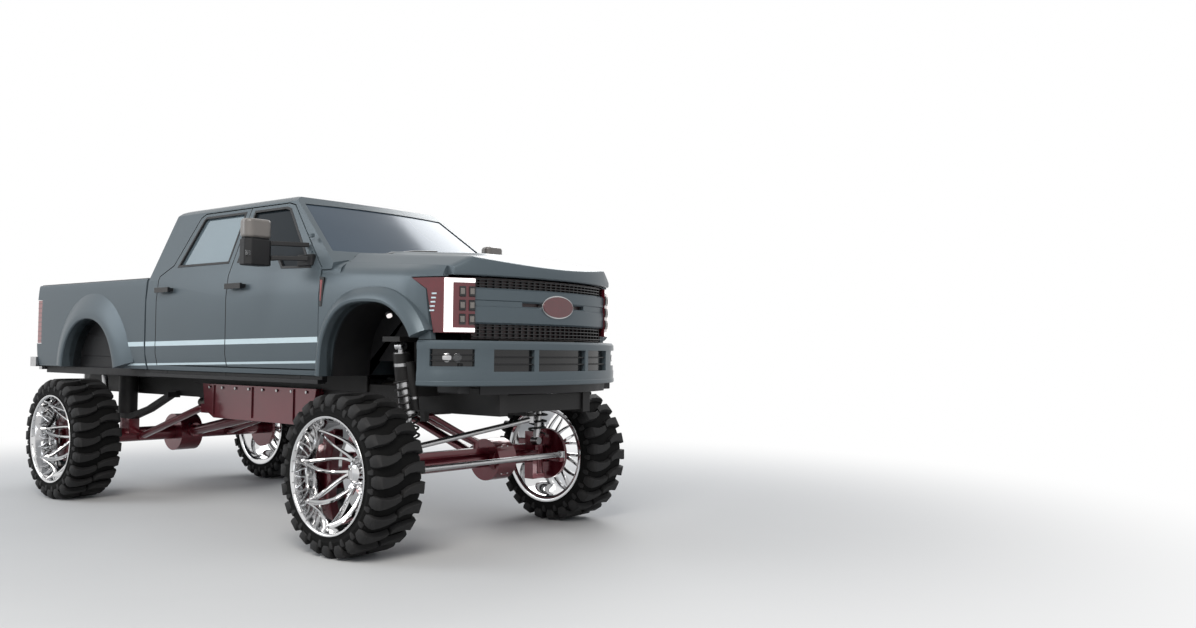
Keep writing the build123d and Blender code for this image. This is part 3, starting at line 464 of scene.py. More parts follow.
placed("cab_shell_look", [(upper, slate_paint), (lower, slate_paint), *posts], "chassis", "cab_shell",
       edge=0.004, others=[(cabin_trim, faces_cabin)])
screens = carved(glasshouse(GLASS_OUT), glasshouse(GLASS_IN))
placed("cab_windows_look", [(carved(screens, hole, how="INTERSECT"), screen_glass) for hole in screen_holes],
       "chassis", "cab_windows", edge=0)

# %% [markdown]
# Doors are copies of their CAD solids without the plain mirrors. Handles stand outside the skin, so their
# finish follows from how far out they lie.

# %% Doors


def on_handle(centre, normal):
    """True for the door handle."""
    return abs(centre.y) > 0.9625 and centre.z < 1.93


for place in PLACES:
    front = "front" in place
    mirror = [*both_boxes(900, 1600, 946, 1400, 1965, 2400), *both_boxes(900, 1600, 909, 1400, 2062, 2400)]
    dressed("door_" + place, slate_paint, 0.004, (cabin_trim, faces_cabin), (gloss_black, on_handle),
            less=mirror if front else ())
    # the rear windows' pale glass is a painted sky reflection
    dressed("glass_" + place, dark_glass if front else painted_sky_reflection_glass, 0)

# %% [markdown]
# A towing mirror has a black housing below, a grey cap above, two arms and a foot on the door, a small clear
# lamp on its end and two glasses that face the rear. The corners of its plan are cut and its bevel is wide,
# so that it looks round.

# %% Towing mirrors
MIRROR_PLAN = ((1120, 1150), (1120, 1290), (1146, 1326), (1212, 1328), (1246, 1290), (1250, 1140),
               (1215, 1108))
MIRROR_ARMS = ((1450, 900, 1235, 2030), (1345, 880, 1215, 2140))  # root x, root y, head x, lower z
for side, name in SIDES:
    plan = [(x, side * y) for x, y in MIRROR_PLAN]
    smaller = [(x + (8 if x < 1180 else -8), y - side * (8 if abs(y) > 1220 else -8)) for x, y in plan]
    arms = [prism("above", [(root_x + 18, side * root_y), (head_x + 14, side * 1130),
                            (head_x - 16, side * 1130), (root_x - 18, side * root_y)], low, low + 34)
            for root_x, root_y, head_x, low in MIRROR_ARMS]
    for part, meshes, skin, slot, edge in (
        ("housing", [prism("above", plan, 1985, 2178), prism("above", smaller, 2170, 2190)],
         black_plastic, "black_plastic", 0.018),
        ("cap", [prism("above", plan, 2184, 2325)], grey_plastic, "black_plastic", 0.024),
        ("arms", [*arms, box(1300, 1480, 905, 942, 1996, 2080, side)], black_plastic, "black_plastic", 0.006),
        # the mirror glasses' pale blue is a painted sky reflection
        ("glass", [box(1113, 1121, 1160, 1284, 2196, 2308, side),
                   box(1113, 1121, 1160, 1284, 2008, 2160, side)], painted_sky_reflection_glass, "window_glass", 0.002),
        ("light", [box(1210, 1244, 1296, 1322, 2052, 2092, side)], clear_lens, "lamp_lens", 0.002),
    ):
        placed("mirror_" + part + "_" + name, [(mesh, skin) for mesh in meshes], "door_front_" + name,
               edge=edge)

# %% [markdown]
# Each window has a black rubber strip round it, and the lower body carries two pale lines that are painted
# highlights, the light caught by its two creases. The strips follow the cab's side, which leans in above the
# belt line and bulges a little below it.

# %% Window strips and pale lines painted as crease highlights
STRIP = ((-7, -16), (-7, 3), (13, 3), (13, -16))  # (distance from the window's edge, proud of the side)
# the two pale lines are painted highlights along the body's creases
LOWER_CREASE_HIGHLIGHT, UPPER_CREASE_HIGHLIGHT = (1290, 0.023, 9), (1452, 0.017, 20)  # height in front, fall to the rear, half width


def window_strip(outline, side):
    """A rubber strip round a side window."""
    loops = [[(x, side_y(side, z, proud), z) for x, z in grown(outline, amount)] for amount, proud in STRIP]
    return solid_of([list(corner) for corner in zip(*loops)], ring=True)


def painted_crease_line(x0, x1, side, line):
    """A pale line along the body between two places, painted as the highlight of a crease."""
    height, fall, half = line
    loops = []
    for x in (x0, x1):
        middle = height - (1590 - x) * fall
        corners = ((middle - half, -3), (middle - half, 1.6), (middle + half, 1.6), (middle + half, -3))
        loops.append([(x, side_y(side, z, proud), z) for z, proud in corners])
    return solid_of(loops)


for side, name in SIDES:
    for row, window in (("front_", FRONT_WINDOW), ("rear_", REAR_WINDOW)):
        placed("window_strip_" + row + name, [(window_strip(window, side), black_plastic)],
               "door_" + row + name, edge=0.002)
    # pale lines painted as the highlights along the body's two creases
    for body, x0, x1 in (("door_front_" + name, 393, 1588), ("door_rear_" + name, -688, 379),
                         ("chassis", -858, -702)):
        placed("lines_" + body + "_" + name,
               [(painted_crease_line(x0, x1, side, line), highlight_and_trim_paint) for line in (LOWER_CREASE_HIGHLIGHT, UPPER_CREASE_HIGHLIGHT)], body,
               edge=0)

# %% [markdown]
# The hood is one sheet with a raised middle. Its height is the lower of a crowned surface that falls forward
# and a nose line that drops over the grille. Each loop is a section along the truck: top, nose, rim and
# underside.

# %% Hood
HOOD_RISE = ((0, 124), (400, 113), (440, 92), (690, 76), (822, 0))
NOSE_LINE = ((2440, 2110), (2700, 2062), (2930, 2004), (3080, 1955))
HOOD_HALF_W = 822
HOOD_REAR, HOOD_FRONT = (1970, *SCREEN_BOW[1:]), (3060, 200, HOOD_HALF_W)
HOOD_THICK = 34


def hood_edge(x):
    """The height of the hood's outer edge, which falls forward."""
    return 2022 - 0.0657 * (x - 1660)


def hood_top(x, y):
    """The hood's height at a place."""
    return min(hood_edge(x) + level(HOOD_RISE, abs(y), 24), level(NOSE_LINE, x, 60))


def hood_loop(y):
    """One section of the hood along the truck."""
    rear = bow_x(HOOD_REAR, y) - SCREEN_LEAN * (hood_top(1745, y) - BELT)
    front = bow_x(HOOD_FRONT, y)
    tops = [rear + (front - 26 - rear) * share / 28 for share in range(29)]
    lip = hood_top(tops[-1], y)
    loop = [(x, y, hood_top(x, y)) for x in tops]
    loop += [(front - 8, y, lip - 9), (front, y, lip - 26), (front, y, 1892), (front - 8, y, 1883)]
    loop += [(front - 80, y, 1883)]
    return loop + [(x, y, hood_top(x, y) - HOOD_THICK) for x in (front - 80, *reversed(tops[:-4:4]))]


hood_rows = [-HOOD_HALF_W + 2 * HOOD_HALF_W * share / 64 for share in range(65)]
placed("hood_look", [(solid_of([hood_loop(y) for y in hood_rows]), slate_paint)], "hood", "hood", edge=0.004)

# %% [markdown]
# A front fender is a sheet between the hood's edge and the sill. The wheel opening and the lamp's pocket are
# cut from it, and a rounded flare follows the opening. Inside lie the black arch liner and an apron.

# %% Front fenders
FRONT_OPENING = eased([
    (1686, 1190), (1700, 1400), (1745, 1510), (1810, 1600), (1900, 1668), (2010, 1703), (2160, 1712),
    (2330, 1703), (2440, 1668), (2535, 1606), (2610, 1530), (2655, 1455), (2672, 1400),
])
FENDER_ROWS = (
    # x, lower y, middle y, shoulder z, crown y, crown z
    (1598, 945, 960, 1840, 932, 1955),
    (2500, 943, 958, 1800, 928, 1918),
    (2660, 915, 934, 1793, 904, 1908),
    (2800, 875, 890, 1785, 866, 1896),
)
FLARE_FRONT = ((0, 890), (0, 1012), (6, 1020), (22, 1023), (46, 1014), (74, 994), (104, 966), (112, 940),
               (112, 890))
LAMP_POCKET = ((2850, 1440), (2850, 1872), (2560, 1872), (2692, 1790), (2745, 1440))


def liner(thick):
    """The profile of an arch liner."""
    return (0, 560), (0, 905), (thick, 905), (thick, 560)


def fender_loop(x):
    """One section of the fender across the truck, as a closed sheet."""
    low_y, mid_y, shoulder, crown_y, crown_z = [
        level([(row[0], row[part]) for row in FENDER_ROWS], x) for part in range(1, 6)
    ]
    outer = eased([(low_y, 1190), (mid_y, 1400), (mid_y, shoulder), (crown_y, crown_z), (830, hood_edge(x))])
    inner = [(y - 42, max(z - 26, 1190)) for y, z in reversed(outer)]
    return [(x, y, z) for y, z in outer + inner]


fender_rear, fender_front = FENDER_ROWS[0][0], FENDER_ROWS[-1][0]
fender_skin = carved(
    solid_of([fender_loop(fender_rear + (fender_front - fender_rear) * share / 24) for share in range(25)]),
    prism("side", FRONT_OPENING + [(2672, 1000), (1680, 1000)], 700, 1100),
    prism("side", LAMP_POCKET, 700, 1100),
    box(2640, 3000, 700, 1100, 1000, 1455),
)
placed("front_fenders_look", both([
    (fender_skin, slate_paint),
    (side_sweep(FRONT_OPENING[:-3], FLARE_FRONT), slate_paint),
    (side_sweep(FRONT_OPENING, liner(14)), black_plastic),
    (prism("side", FRONT_OPENING + [(2672, 1300), (1690, 1300)], 548, 560), black_plastic),
]), "chassis", "front_fenders", edge=0.004)

# %% [markdown]
# The grille is bowed across the front: a red-tinted mesh behind, two body-coloured bars that close up at
# their ends, thin gloss slats and a bare dark-red oval. The radiator stands behind it.

# %% Grille
GRILLE_BOW = (3050, 135, 690)
SLAT_STEP = 53
grille_line = bow_line(GRILLE_BOW)
grille_parts = [(bar(grille_line, 1461, 1874, -62, -40, 1), mesh_red)]
for low, high in ((1561, 1688), (1712, 1805)):
    grille_parts.append((bar(grille_line, low, high, -50, 0, 12), slate_paint))
for low, high in ((-690, -330), (330, 690)):
    grille_parts.append((bar(bow_line(GRILLE_BOW, low, high, 10), 1680, 1720, -50, -5, 2), slate_paint))
for low in (1472, 1496, 1520, 1544, 1816, 1836, 1856):
    grille_parts.append((bar(grille_line, low, low + 8, -45, -16, 2), gloss_black))
for y in range(-12 * SLAT_STEP, 13 * SLAT_STEP, SLAT_STEP):
    x = bow_x(GRILLE_BOW, y)
    for low, high in ((1466, 1560), (1806, 1868)):
        grille_parts.append((box(x - 42, x - 22, y - 2.5, y + 2.5, low, high), gloss_black))


def oval(half_w, half_h, x0, x1):
    """A bare oval plate on the grille's middle."""
    points = [(half_w * cos(2 * pi * k / 48), 1694 + half_h * sin(2 * pi * k / 48)) for k in range(48)]
    return prism("front", points, x0, x1)


grille_parts += [(oval(165, 81, 3008, 3054), steel), (oval(156, 73, 3040, 3060), dark_red)]
grille_parts.append((box(2800, 2860, -420, 420, 1200, 1800), frame_black))
for z in range(1215, 1215 + 28 * 21, 21):
    grille_parts.append((box(2858, 2866, -400, 400, z, z + 12), dull_steel))
for y in (-480, 420):
    grille_parts.append((box(2780, 2870, y, y + 60, 1130, 1800), frame_black))
placed("grille_look", grille_parts, "chassis", "grille", edge=0.003)

# %% [markdown]
# A head lamp wraps round the corner. Its dark-red housing holds rows of small lenses, a white C-shaped light
# stands proud at its outer end, and five short rungs mark the side. The tail lamps are tall and ribbed.

# %% Lamps
LAMP_PLAN = ((2925, 690.3), (2895, 745), (2850, 822), (2800, 885), (2700, 915), (2575, 944), (2575, 900),
             (2760, 800), (2790, 690.3))
LAMP_SIDE = ((2950, 1500), (2950, 1864), (2580, 1864), (2700, 1788), (2752, 1500))
LAMP_FACE = [(2816, 868), (2832, 848), (2850, 822), (2872, 784), (2895, 745), (2925, 694)]
LAMP_CHEEK = ((2700, 915), (2800, 885))
LENS_COLUMNS = ((2886, 768, (0.497, -0.868)), (2919, 712, (0.5, -0.866)))  # middle x and y, direction
LENS_BARS = (((0, 42), 0, -3, 5, gloss_black), ((7, 35), 14, 0, 8, grey_plastic))
lamp_parts = [(carved(prism("above", LAMP_PLAN, 1500, 1864), prism("side", LAMP_SIDE, 600, 1000),
                      how="INTERSECT"), dark_red)]
for path, low, high in ((LAMP_FACE, 1505, 1533), (LAMP_FACE, 1833, 1861), (LAMP_FACE[:3], 1505, 1861)):
    lamp_parts.append((bar(path, low, high, -4, 13, 4), white_lamp))
for low in (1556, 1648, 1740):
    for x, y, way in LENS_COLUMNS:
        start = Vector((x, y)) - Vector(way) * 21
        for span, inset, back, proud, skin in LENS_BARS:
            ends = [start + Vector(way) * along for along in span]
            lamp_parts.append((bar(ends, low + inset, low + 70 - inset, back, proud, 4), skin))
for rung in range(5):
    start, low = 2722 + rung * 4, 1640 + rung * 28
    ends = [(x, level(LAMP_CHEEK, x)) for x in (start, start + 34)]
    lamp_parts.append((bar(ends, low, low + 11, -3, 4, 2), highlight_and_trim_paint))
lamp_parts.append((box(-2999, -2902, 804, 950, 1413, 1835), tail_red))
for low in range(1432, 1432 + 9 * 46, 46):
    lamp_parts.append((box(-2999.5, -2920, 806, 951, low, low + 8), dark_red))
placed("lamps_look", both(lamp_parts), "chassis", "lamps", edge=0.003)

# %% [markdown]
# The front bumper is a bowed beam with swept-back corners. Three slots and two fog-lamp pockets are cut into
# it, each with a black liner and two thin bars. A painted lip lies along its lower edge and a dark valance
# under it.

# %% Front bumper
BUMPER_BOW, VALANCE_BOW = (3130, 145, 700), (3095, 140, 660)
CORNER = [(2690, 990), (2752, 976), (2800, 955), (2858, 900), (2905, 832), (2950, 768)]
POCKET = [(2784, 962), *CORNER[2:], (2972, 728)]
BEAM = ((-65, 1152), (-18, 1150), (-6, 1164), (-3, 1232), (-8, 1250), (-8, 1384), (-3, 1400), (-5, 1434),
        (-18, 1450), (-65, 1450))
LIP = ((-30, 1150), (-4, 1150), (0, 1156), (0, 1178), (-4, 1184), (-30, 1184))


def right_side(line):
    """The mirror copy of a line seen from above."""
    return [(x, -y) for x, y in reversed(line)]


bumper_line = CORNER + bow_line(BUMPER_BOW, steps=28) + right_side(CORNER)
beam = plan_sweep(bumper_line, BEAM)
bumper_parts = []
slots = [(bow_line(BUMPER_BOW, *span, 10), 1245, 1392) for span in ((-600, -290), (-250, 250), (290, 600))]
for line, low, high in slots + [(POCKET, 1279, 1393), (right_side(POCKET), 1279, 1393)]:
    beam = carved(beam, plan_sweep(line, ((-46, low), (30, low), (30, high), (-46, high))))
    bumper_parts.append((plan_sweep(line, ((-52, low - 4), (-40, low - 4), (-40, high + 4), (-52, high + 4))),
                         gloss_black))
    for share in (0.33, 0.66):
        middle = low + (high - low) * share
        bumper_parts.append((bar(line, middle - 5, middle + 5, -42, -18, 2), black_plastic))
bumper_parts += [(beam, slate_paint), (plan_sweep(bumper_line, LIP), slate_paint)]
valance = bow_line(VALANCE_BOW, steps=16)
bumper_parts.append((plan_sweep(valance, ((-25, 1092), (-6, 1092), (0, 1155), (-25, 1155))), black_plastic))
for side in (1, -1):
    way = Vector((0.80, 0.60 * side))
    for x, y, skin in ((2902, 822, clear_lens), (2862, 876, steel)):
        loops = [
            [(x + way.x * d - side * way.y * r * sin(t) * side, side * y + way.y * d + way.x * r * sin(t),
              1336 + r * cos(t)) for t in [2 * pi * k / 20 for k in range(20)]]
            for d, r in ((-40, 30), (-12, 30), (-8, 22))
        ]
        bumper_parts.append((solid_of(loops), skin))
    bumper_parts.append((box(2690, 2960, 400, 480, 1150, 1230, side), frame_black))
placed("front_bumper_look", bumper_parts, "chassis", "front_bumper", edge=0.004)

# %% [markdown]
# The bed is an open box of painted sheet with black liner inside. A broad swelling rises over each wheel
# opening, and black caps lie on its rails. The wall deep in each rear arch is the darkest black, as painted
# shade, and two pale lines are painted as the highlights of its creases.

# %% Bed
REAR_OPENING = eased([
    (-2330, 1190), (-2318, 1290), (-2262, 1420), (-2180, 1520), (-2080, 1590), (-1960, 1632), (-1820, 1640),
    (-1690, 1622), (-1560, 1566), (-1460, 1480), (-1385, 1370), (-1335, 1250), (-1320, 1190),
])
SWELL = ((0, 890), (0, 1008), (8, 1018), (30, 1022), (70, 1017), (120, 1004), (170, 985), (215, 964),
         (244, 950), (244, 890))
bed_side = eased([(928, 1190), (958, 1330), (960, 1780), (946, 1960), (938, 1982), (922, 1985)], 1)
bed_shell = carved(
    prism("front", whole(bed_side), -3000, -885),
    box(-2920, -935, -830, 830, 1290, 2100),
    box(-3100, -2500, -798, 798, 1290, 2100),
    box(-3100, -2900, -798, 798, 1265, 2100),
    *both_prisms(REAR_OPENING + [(-1320, 1000), (-2330, 1000)], 820, 1100),
    *both_boxes(-3100, -2900, 803, 1100, 1408, 1840),
)
wheel_box = carved(box(-2300, -1300, 560, 838, 1285, 1500), box(-2290, -1310, 572, 900, 1200, 1488))
bed_parts = both([
    (side_sweep(REAR_OPENING, SWELL), slate_paint),
    (side_sweep(REAR_OPENING, liner(12)), black_plastic),
    # painted shade: the inner wall deep in the rear arch is the darkest black
    (prism("side", REAR_OPENING + [(-1330, 1250), (-2330, 1250)], 548, 560), darkest_rubber_and_shade),
    (wheel_box, black_plastic),
    (box(-2985, -905, 836, 922, 1984, 1990), black_plastic),
    (box(-2915, -940, 822, 829, 1295, 1975), black_plastic),
    (box(-2330, -1320, 800, 827, 1186, 1292), black_plastic),
    # painted highlights along the bed's two creases
    (painted_crease_line(-1296, -890, 1, UPPER_CREASE_HIGHLIGHT), highlight_and_trim_paint),
    (painted_crease_line(-1290, -890, 1, LOWER_CREASE_HIGHLIGHT), highlight_and_trim_paint),
])
for y in range(-756, 757, 126):
    bed_parts.append((box(-2890, -945, y - 40, y + 40, 1289, 1294), black_plastic))
placed("bed_look", [(bed_shell, slate_paint)] + bed_parts, "chassis", "bed", edge=0.004)
dressed("tailgate", slate_paint, 0.005, (black_plastic, lambda c, n: c.x > -2.965 and n.x > 0.5))
dressed("rear_bumper", steel, 0.005)

# %% [markdown]
# Below the sills black covers close the gap to the side steps and the frame, with a black sheet further in
# under the cab and a black block between each front wheel and the bumper. All of them are painted shade: they
# are dark where the underbody lies in shade.

# %% Black covers of painted shade below the sills
for side, name in SIDES:
    # painted shade: black covers and sheets fill the shaded gaps under the body
    placed("rocker_cover_" + name, [
        (box(-860, 1586, 862, 908, 1140, 1189, side), black_plastic),
        (box(-2990, -890, 800, 860, 1120, 1189, side), black_plastic),
        (box(-860, 1586, 480, 500, 1060, 1189, side), frame_black),
        (box(2690, 2900, 700, 800, 1100, 1300, side), black_plastic),
    ], "chassis", edge=0.006)

# %% [markdown]
# A painted corner fills the place between the fender's top, the hood and the foot of the windscreen post.

# %% Cowl corners
COWL_CORNER = ((715, 1900), (930, 1900), (934, 1950), (926, 1972), (905, 1992), (840, 2022), (780, 2040),
               (715, 2056))
for side, name in SIDES:
    ends = [[(1592, side * y, z) for y, z in COWL_CORNER],
            [(1700 + (y - 715) * 0.5, side * y, z - 12) for y, z in COWL_CORNER]]
    placed("cowl_corner_" + name, [(solid_of(ends), slate_paint)], "chassis", edge=0.006)

# %% [markdown]
# The running gear takes candy red, satin black, bare cast metal and machined steel.

# %% Running gear and trim
for node, skin, edge in (
    ("frame_rails", frame_black, 0.003),
    ("lift_frame", red_coat, 0.003),
    ("engine", cast_metal, 0.012),
    ("drive_shafts", red_coat, 0.002),
    ("exhaust", dull_steel, 0.0),
    ("fuel_tank", black_plastic, 0.012),
    ("front_axle", red_coat, 0.003),
    ("rear_axle", red_coat, 0.003),
    ("suspension_arms", red_coat, 0.002),
    ("dampers", steel, 0.002),
    ("rear_springs", frame_black, 0.002),
    ("side_steps", black_plastic, 0.006),
    ("dashboard", cabin_trim, 0.004),
    ("knuckle_left", red_coat, 0.003),
    ("knuckle_right", red_coat, 0.003),
    ("tie_rod", steel, 0.002),
    ("drag_link", steel, 0.002),
    ("pitman_arm", cast_metal, 0.002),
):
    dressed(node, skin, edge)

# %% [markdown]
# Seats are padded leather. Each cushion starts as a block a little smaller than its space, is blown up as
# cloth with its swelling capped, and then gets one subdivision, so it is crowned and its sides pull in.

# %% Seats
CUSHION_BEVEL, VOXEL = 0.03, 0.016
PRESSURE, CLOTH_QUALITY, CLOTH_FRAMES = 4, 4, 20
SWELLING, REST_SWELLING = 0.026, 0.012  # how far cloth may move a cushion's or a head rest's surface
SMOOTHING_ROUNDS = 6


def blown_up(name, start, cap):
    """The mesh after its surface was inflated as cloth, moved by no more than the cap."""
    piece = own_mesh(name, start)
    rest = [vertex.co.copy() for vertex in start.vertices]
    cloth = piece.modifiers.new("cloth", "CLOTH")
    cloth.settings.use_pressure = True
    cloth.settings.uniform_pressure_force = PRESSURE
    cloth.settings.effector_weights.gravity = 0
    cloth.settings.quality = CLOTH_QUALITY
    cloth.point_cache.frame_start, cloth.point_cache.frame_end = 1, CLOTH_FRAMES
    for step in range(1, CLOTH_FRAMES + 1):
        bpy.context.scene.frame_set(step)
    swollen = plain(piece)
    bpy.context.scene.frame_set(1)
    for vertex, home in zip(swollen.vertices, rest):
        shift = vertex.co - home
        vertex.co = home + shift * min(1, cap / max(shift.length, 1e-6))
    return swollen


def cushion(name, outline, low, high, cap=SWELLING):
    piece = own_mesh(name, prism("side", outline, low, high))
    piece.modifiers.new("bevel", "BEVEL").width = CUSHION_BEVEL
    piece.modifiers.new("remesh", "REMESH").voxel_size = VOXEL
    start = plain(piece)
    piece = own_mesh(name, blown_up(name, start, cap))
    piece.modifiers.new("smooth", "SMOOTH").iterations = SMOOTHING_ROUNDS
    finer = piece.modifiers.new("finer", "SUBSURF")
    finer.levels = finer.render_levels = 1
    mesh = plain(piece)
    mesh.materials.clear()
    mesh.materials.append(leather)
    mesh.shade_smooth()
    piece = own_mesh(name, mesh)
    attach(piece, "chassis")
    return piece


bench = cushion("bench_cushion", ((-520, 1440), (-90, 1440), (-90, 1600), (-520, 1580)), -650, 650)
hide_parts("seats")
cushion("bench_back", ((-545, 1640), (-450, 1630), (-560, 2110), (-635, 2110)), -650, 650)
for side, name in SIDES:
    span = sorted((side * 165, side * 635))
    cushion("seat_cushion_" + name, ((530, 1440), (985, 1440), (985, 1592), (530, 1570)), *span)
    cushion("seat_back_" + name, ((515, 1610), (612, 1600), (536, 2100), (464, 2100)), *span)
    cushion("head_rest_" + name, ((432, 2150), (508, 2150), (500, 2270), (440, 2270)),
            *sorted((side * 290, side * 510)), REST_SWELLING)
    placed("seat_base_" + name, [
        (box(540, 980, *span, 1262, 1420), cabin_trim),
        (box(460, 480, 340, 350, 2080, 2160, side), steel),
        (box(460, 480, 450, 460, 2080, 2160, side), steel),
    ], "chassis", edge=0.004)

# %% [markdown]
# Tread blocks, spokes and nuts all repeat round the wheel's axle. One Geometry Nodes tree turns copies of an
# item about the Y axis, with its count, first angle and step as inputs. It ends in Realize Instances and Set
# Material, so that the result is a plain mesh.

# %% A tree that turns copies about the axle


def turned_copies_tree():
    """Copies of an item, turned about Y by a steady step."""
    tree = bpy.data.node_groups.new("turned_copies", "GeometryNodeTree")
    face = tree.interface
    face.new_socket("Geometry", in_out="OUTPUT", socket_type="NodeSocketGeometry")
    for label, kind in (("Item", "Object"), ("Count", "Int"), ("First angle", "Float"), ("Step", "Float"),
                        ("Finish", "Material")):
        face.new_socket(label, in_out="INPUT", socket_type="NodeSocket" + kind)
    given = tree.nodes.new("NodeGroupInput").outputs
    item = add_node(tree, "GeometryNodeObjectInfo", {"Object": given["Item"]})
    points = add_node(tree, "GeometryNodePoints", {"Count": given["Count"]})
    index = add_node(tree, "GeometryNodeInputIndex", {})
    angle = add_node(tree, "ShaderNodeMath", {0: index.outputs["Index"], 1: given["Step"],
                                              2: given["First angle"]}, operation="MULTIPLY_ADD")
    turn = add_node(tree, "ShaderNodeCombineXYZ", {"Y": angle.outputs["Value"]})
    copies = add_node(tree, "GeometryNodeInstanceOnPoints", {
        "Points": points.outputs["Points"],
        "Instance": item.outputs["Geometry"],
        "Rotation": turn.outputs["Vector"],
    })
    real = add_node(tree, "GeometryNodeRealizeInstances", {"Geometry": copies.outputs["Instances"]})
    paint = add_node(tree, "GeometryNodeSetMaterial", {"Geometry": real.outputs["Geometry"],
                                                       "Material": given["Finish"]})
    add_node(tree, "NodeGroupOutput", {"Geometry": paint.outputs["Geometry"]})
    return tree


turned_copies = turned_copies_tree()


def around_axle(item_mesh, count, skin, first=0.0):
    """A (mesh, finish) pair: count copies of the item, evenly round the Y axis."""
    item = own_mesh("item", item_mesh)
    holder = own_mesh("holder", bpy.data.meshes.new("holder"))
    modifier = holder.modifiers.new("tree", "NODES")
    modifier.node_group = turned_copies
    values = {"Item": item, "Count": count, "First angle": first, "Step": 2 * pi / count, "Finish": skin}
    for socket in turned_copies.interface.items_tree:
        if socket.name in values:
            modifier[socket.identifier] = values[socket.name]
    mesh = plain(holder)
    bpy.data.objects.remove(item)
    return mesh, skin


def lathe(profile, steps=96):
    """A ring about Y from a closed profile of (along the axle, radius)."""
    turns = [2 * pi * step / steps for step in range(steps)]
    return solid_of([[(r * sin(turn), along, r * cos(turn)) for along, r in profile] for turn in turns],
                    ring=True)


# %% [markdown]
# A mud tyre has two staggered rows of big tread blocks that lean across the tread, bend over the shoulder and
# run down the sidewall. A block is a strip of stations from the middle of the tread outwards; each station
# gives its top and foot as (along the axle, radius) and how far it reaches back and forward round the tyre.

# %% Tyre
LUGS_PER_ROW = 24
LUG_RADIUS, RIB_RADIUS = 521, 460  # where a block's and a rib's reach round the tyre is measured
BLOCK_STATIONS = (
    # top along, top radius, foot along, foot radius, back, front
    (6, 543, 6, 506, 4, 46),
    (56, 543, 56, 506, -22, 28),
    (118, 543, 118, 506, -38, 26),
    (172, 541, 168, 502, -43, 36),
    (195, 525, 180, 494, -44, 42),
    (205, 496, 190, 480, -40, 40),
    (206, 462, 193, 456, -26, 28),
)
CARCASS = (
    (198, 396), (202, 402), (203, 408), (200, 412), (203, 436), (199, 444), (197, 468), (182, 490),
    (164, 500),
    (0, 504), (-164, 500), (-182, 490), (-197, 468), (-199, 444), (-203, 436), (-200, 412), (-203, 408),
    (-202, 402), (-198, 396),
)


def block_mesh(side, turn):
    """One tread block on the outer (1) or inner (-1) side, turned round the axle."""
    stations = []
    for top_y, top_r, foot_y, foot_r, back, front in BLOCK_STATIONS:
        corners = []
        for along, radius, reach in (
            (foot_y, foot_r, back - 3), (top_y, top_r, back + 3), (top_y, top_r, front - 3),
            (foot_y, foot_r, front + 3),
        ):
            angle = turn + side * reach / LUG_RADIUS
            corners.append((radius * sin(angle), side * along, radius * cos(angle)))
        stations.append(corners)
    mesh = solid_of(stations)
    shape = bmesh.new()
    shape.from_mesh(mesh)
    sharp = [edge for edge in shape.edges if edge.calc_face_angle() > 0.6]
    bmesh.ops.bevel(shape, geom=sharp, offset=0.003, segments=1, affect="EDGES")
    shape.to_mesh(mesh)
    shape.free()
    return mesh


def scoop_mesh(side, turn):
    """A low rib on the sidewall between two blocks."""
    loops = []
    for along, radius, half in ((201, 476, 14), (205.5, 462, 17), (205.5, 436, 12), (201, 424, 8)):
        corners = []
        for reach, sunk in ((-half - 2, 8), (-half, 0), (half, 0), (half + 2, 8)):
            angle = turn + side * reach / RIB_RADIUS
            corners.append((radius * sin(angle), side * (along - sunk), radius * cos(angle)))
        loops.append(corners)
    return solid_of(loops)


half_pitch = pi / LUGS_PER_ROW
tyre_mesh = joined("tyre", [
    (lathe(CARCASS), darkest_rubber_and_shade),
    around_axle(block_mesh(1, 0), LUGS_PER_ROW, rubber),
    around_axle(block_mesh(-1, half_pitch), LUGS_PER_ROW, rubber),
    around_axle(scoop_mesh(1, half_pitch), LUGS_PER_ROW, rubber),
    around_axle(scoop_mesh(-1, 0), LUGS_PER_ROW, rubber),
])
print("tyre faces", len(tyre_mesh.polygons))

# %% [markdown]
# The wheel is a polished deep dish that narrows inwards. Eight spoke roots leave the sunken hub, and each
# splits into two thin arms that sweep and twist out to the dish. An arm is a loop of corners carried along a
# smooth path between the few stations of a table, so its edge catches the light as a curved blade does.

# %% The wheel
SPOKES = 8
ARM_STATIONS = (
    # radius, along the axle, width, thickness, twist, sweep of the leading arm, sweep of the trailing arm
    (98, -96, 32, 34, 0, 0, 6),
    (176, -66, 24, 32, 16, 3, 16),
    (258, 0, 17, 32, 34, 2, 27),
    (322, 72, 15, 32, 40, -4, 33),
    (362, 132, 22, 34, 26, -12, 34),
)
BARREL = (
    (200, 383), (200, 394), (203, 397), (207, 397), (209.5, 395), (209.5, 388), (206, 381), (198, 377),
    (186, 374), (150, 366), (90, 356), (20, 350), (-60, 346), (-190, 348), (-206, 366), (-209.5, 380),
    (-209.5, 395), (-203, 397), (-200, 394), (-200, 383), (-120, 376), (60, 376), (150, 381),
)


def between(stations, share):
    """A row of the table at a share of the way along it, smoothly (Catmull-Rom)."""
    spot = share * (len(stations) - 1)
    first = min(int(spot), len(stations) - 2)
    t = spot - first
    rows = [stations[max(0, min(len(stations) - 1, first + k))] for k in (-1, 0, 1, 2)]
    return [
        0.5 * (2 * b + (c - a) * t + (2 * a - 5 * b + 4 * c - d) * t * t + (3 * b - a - 3 * c + d) * t ** 3)
        for a, b, c, d in zip(*rows)
    ]


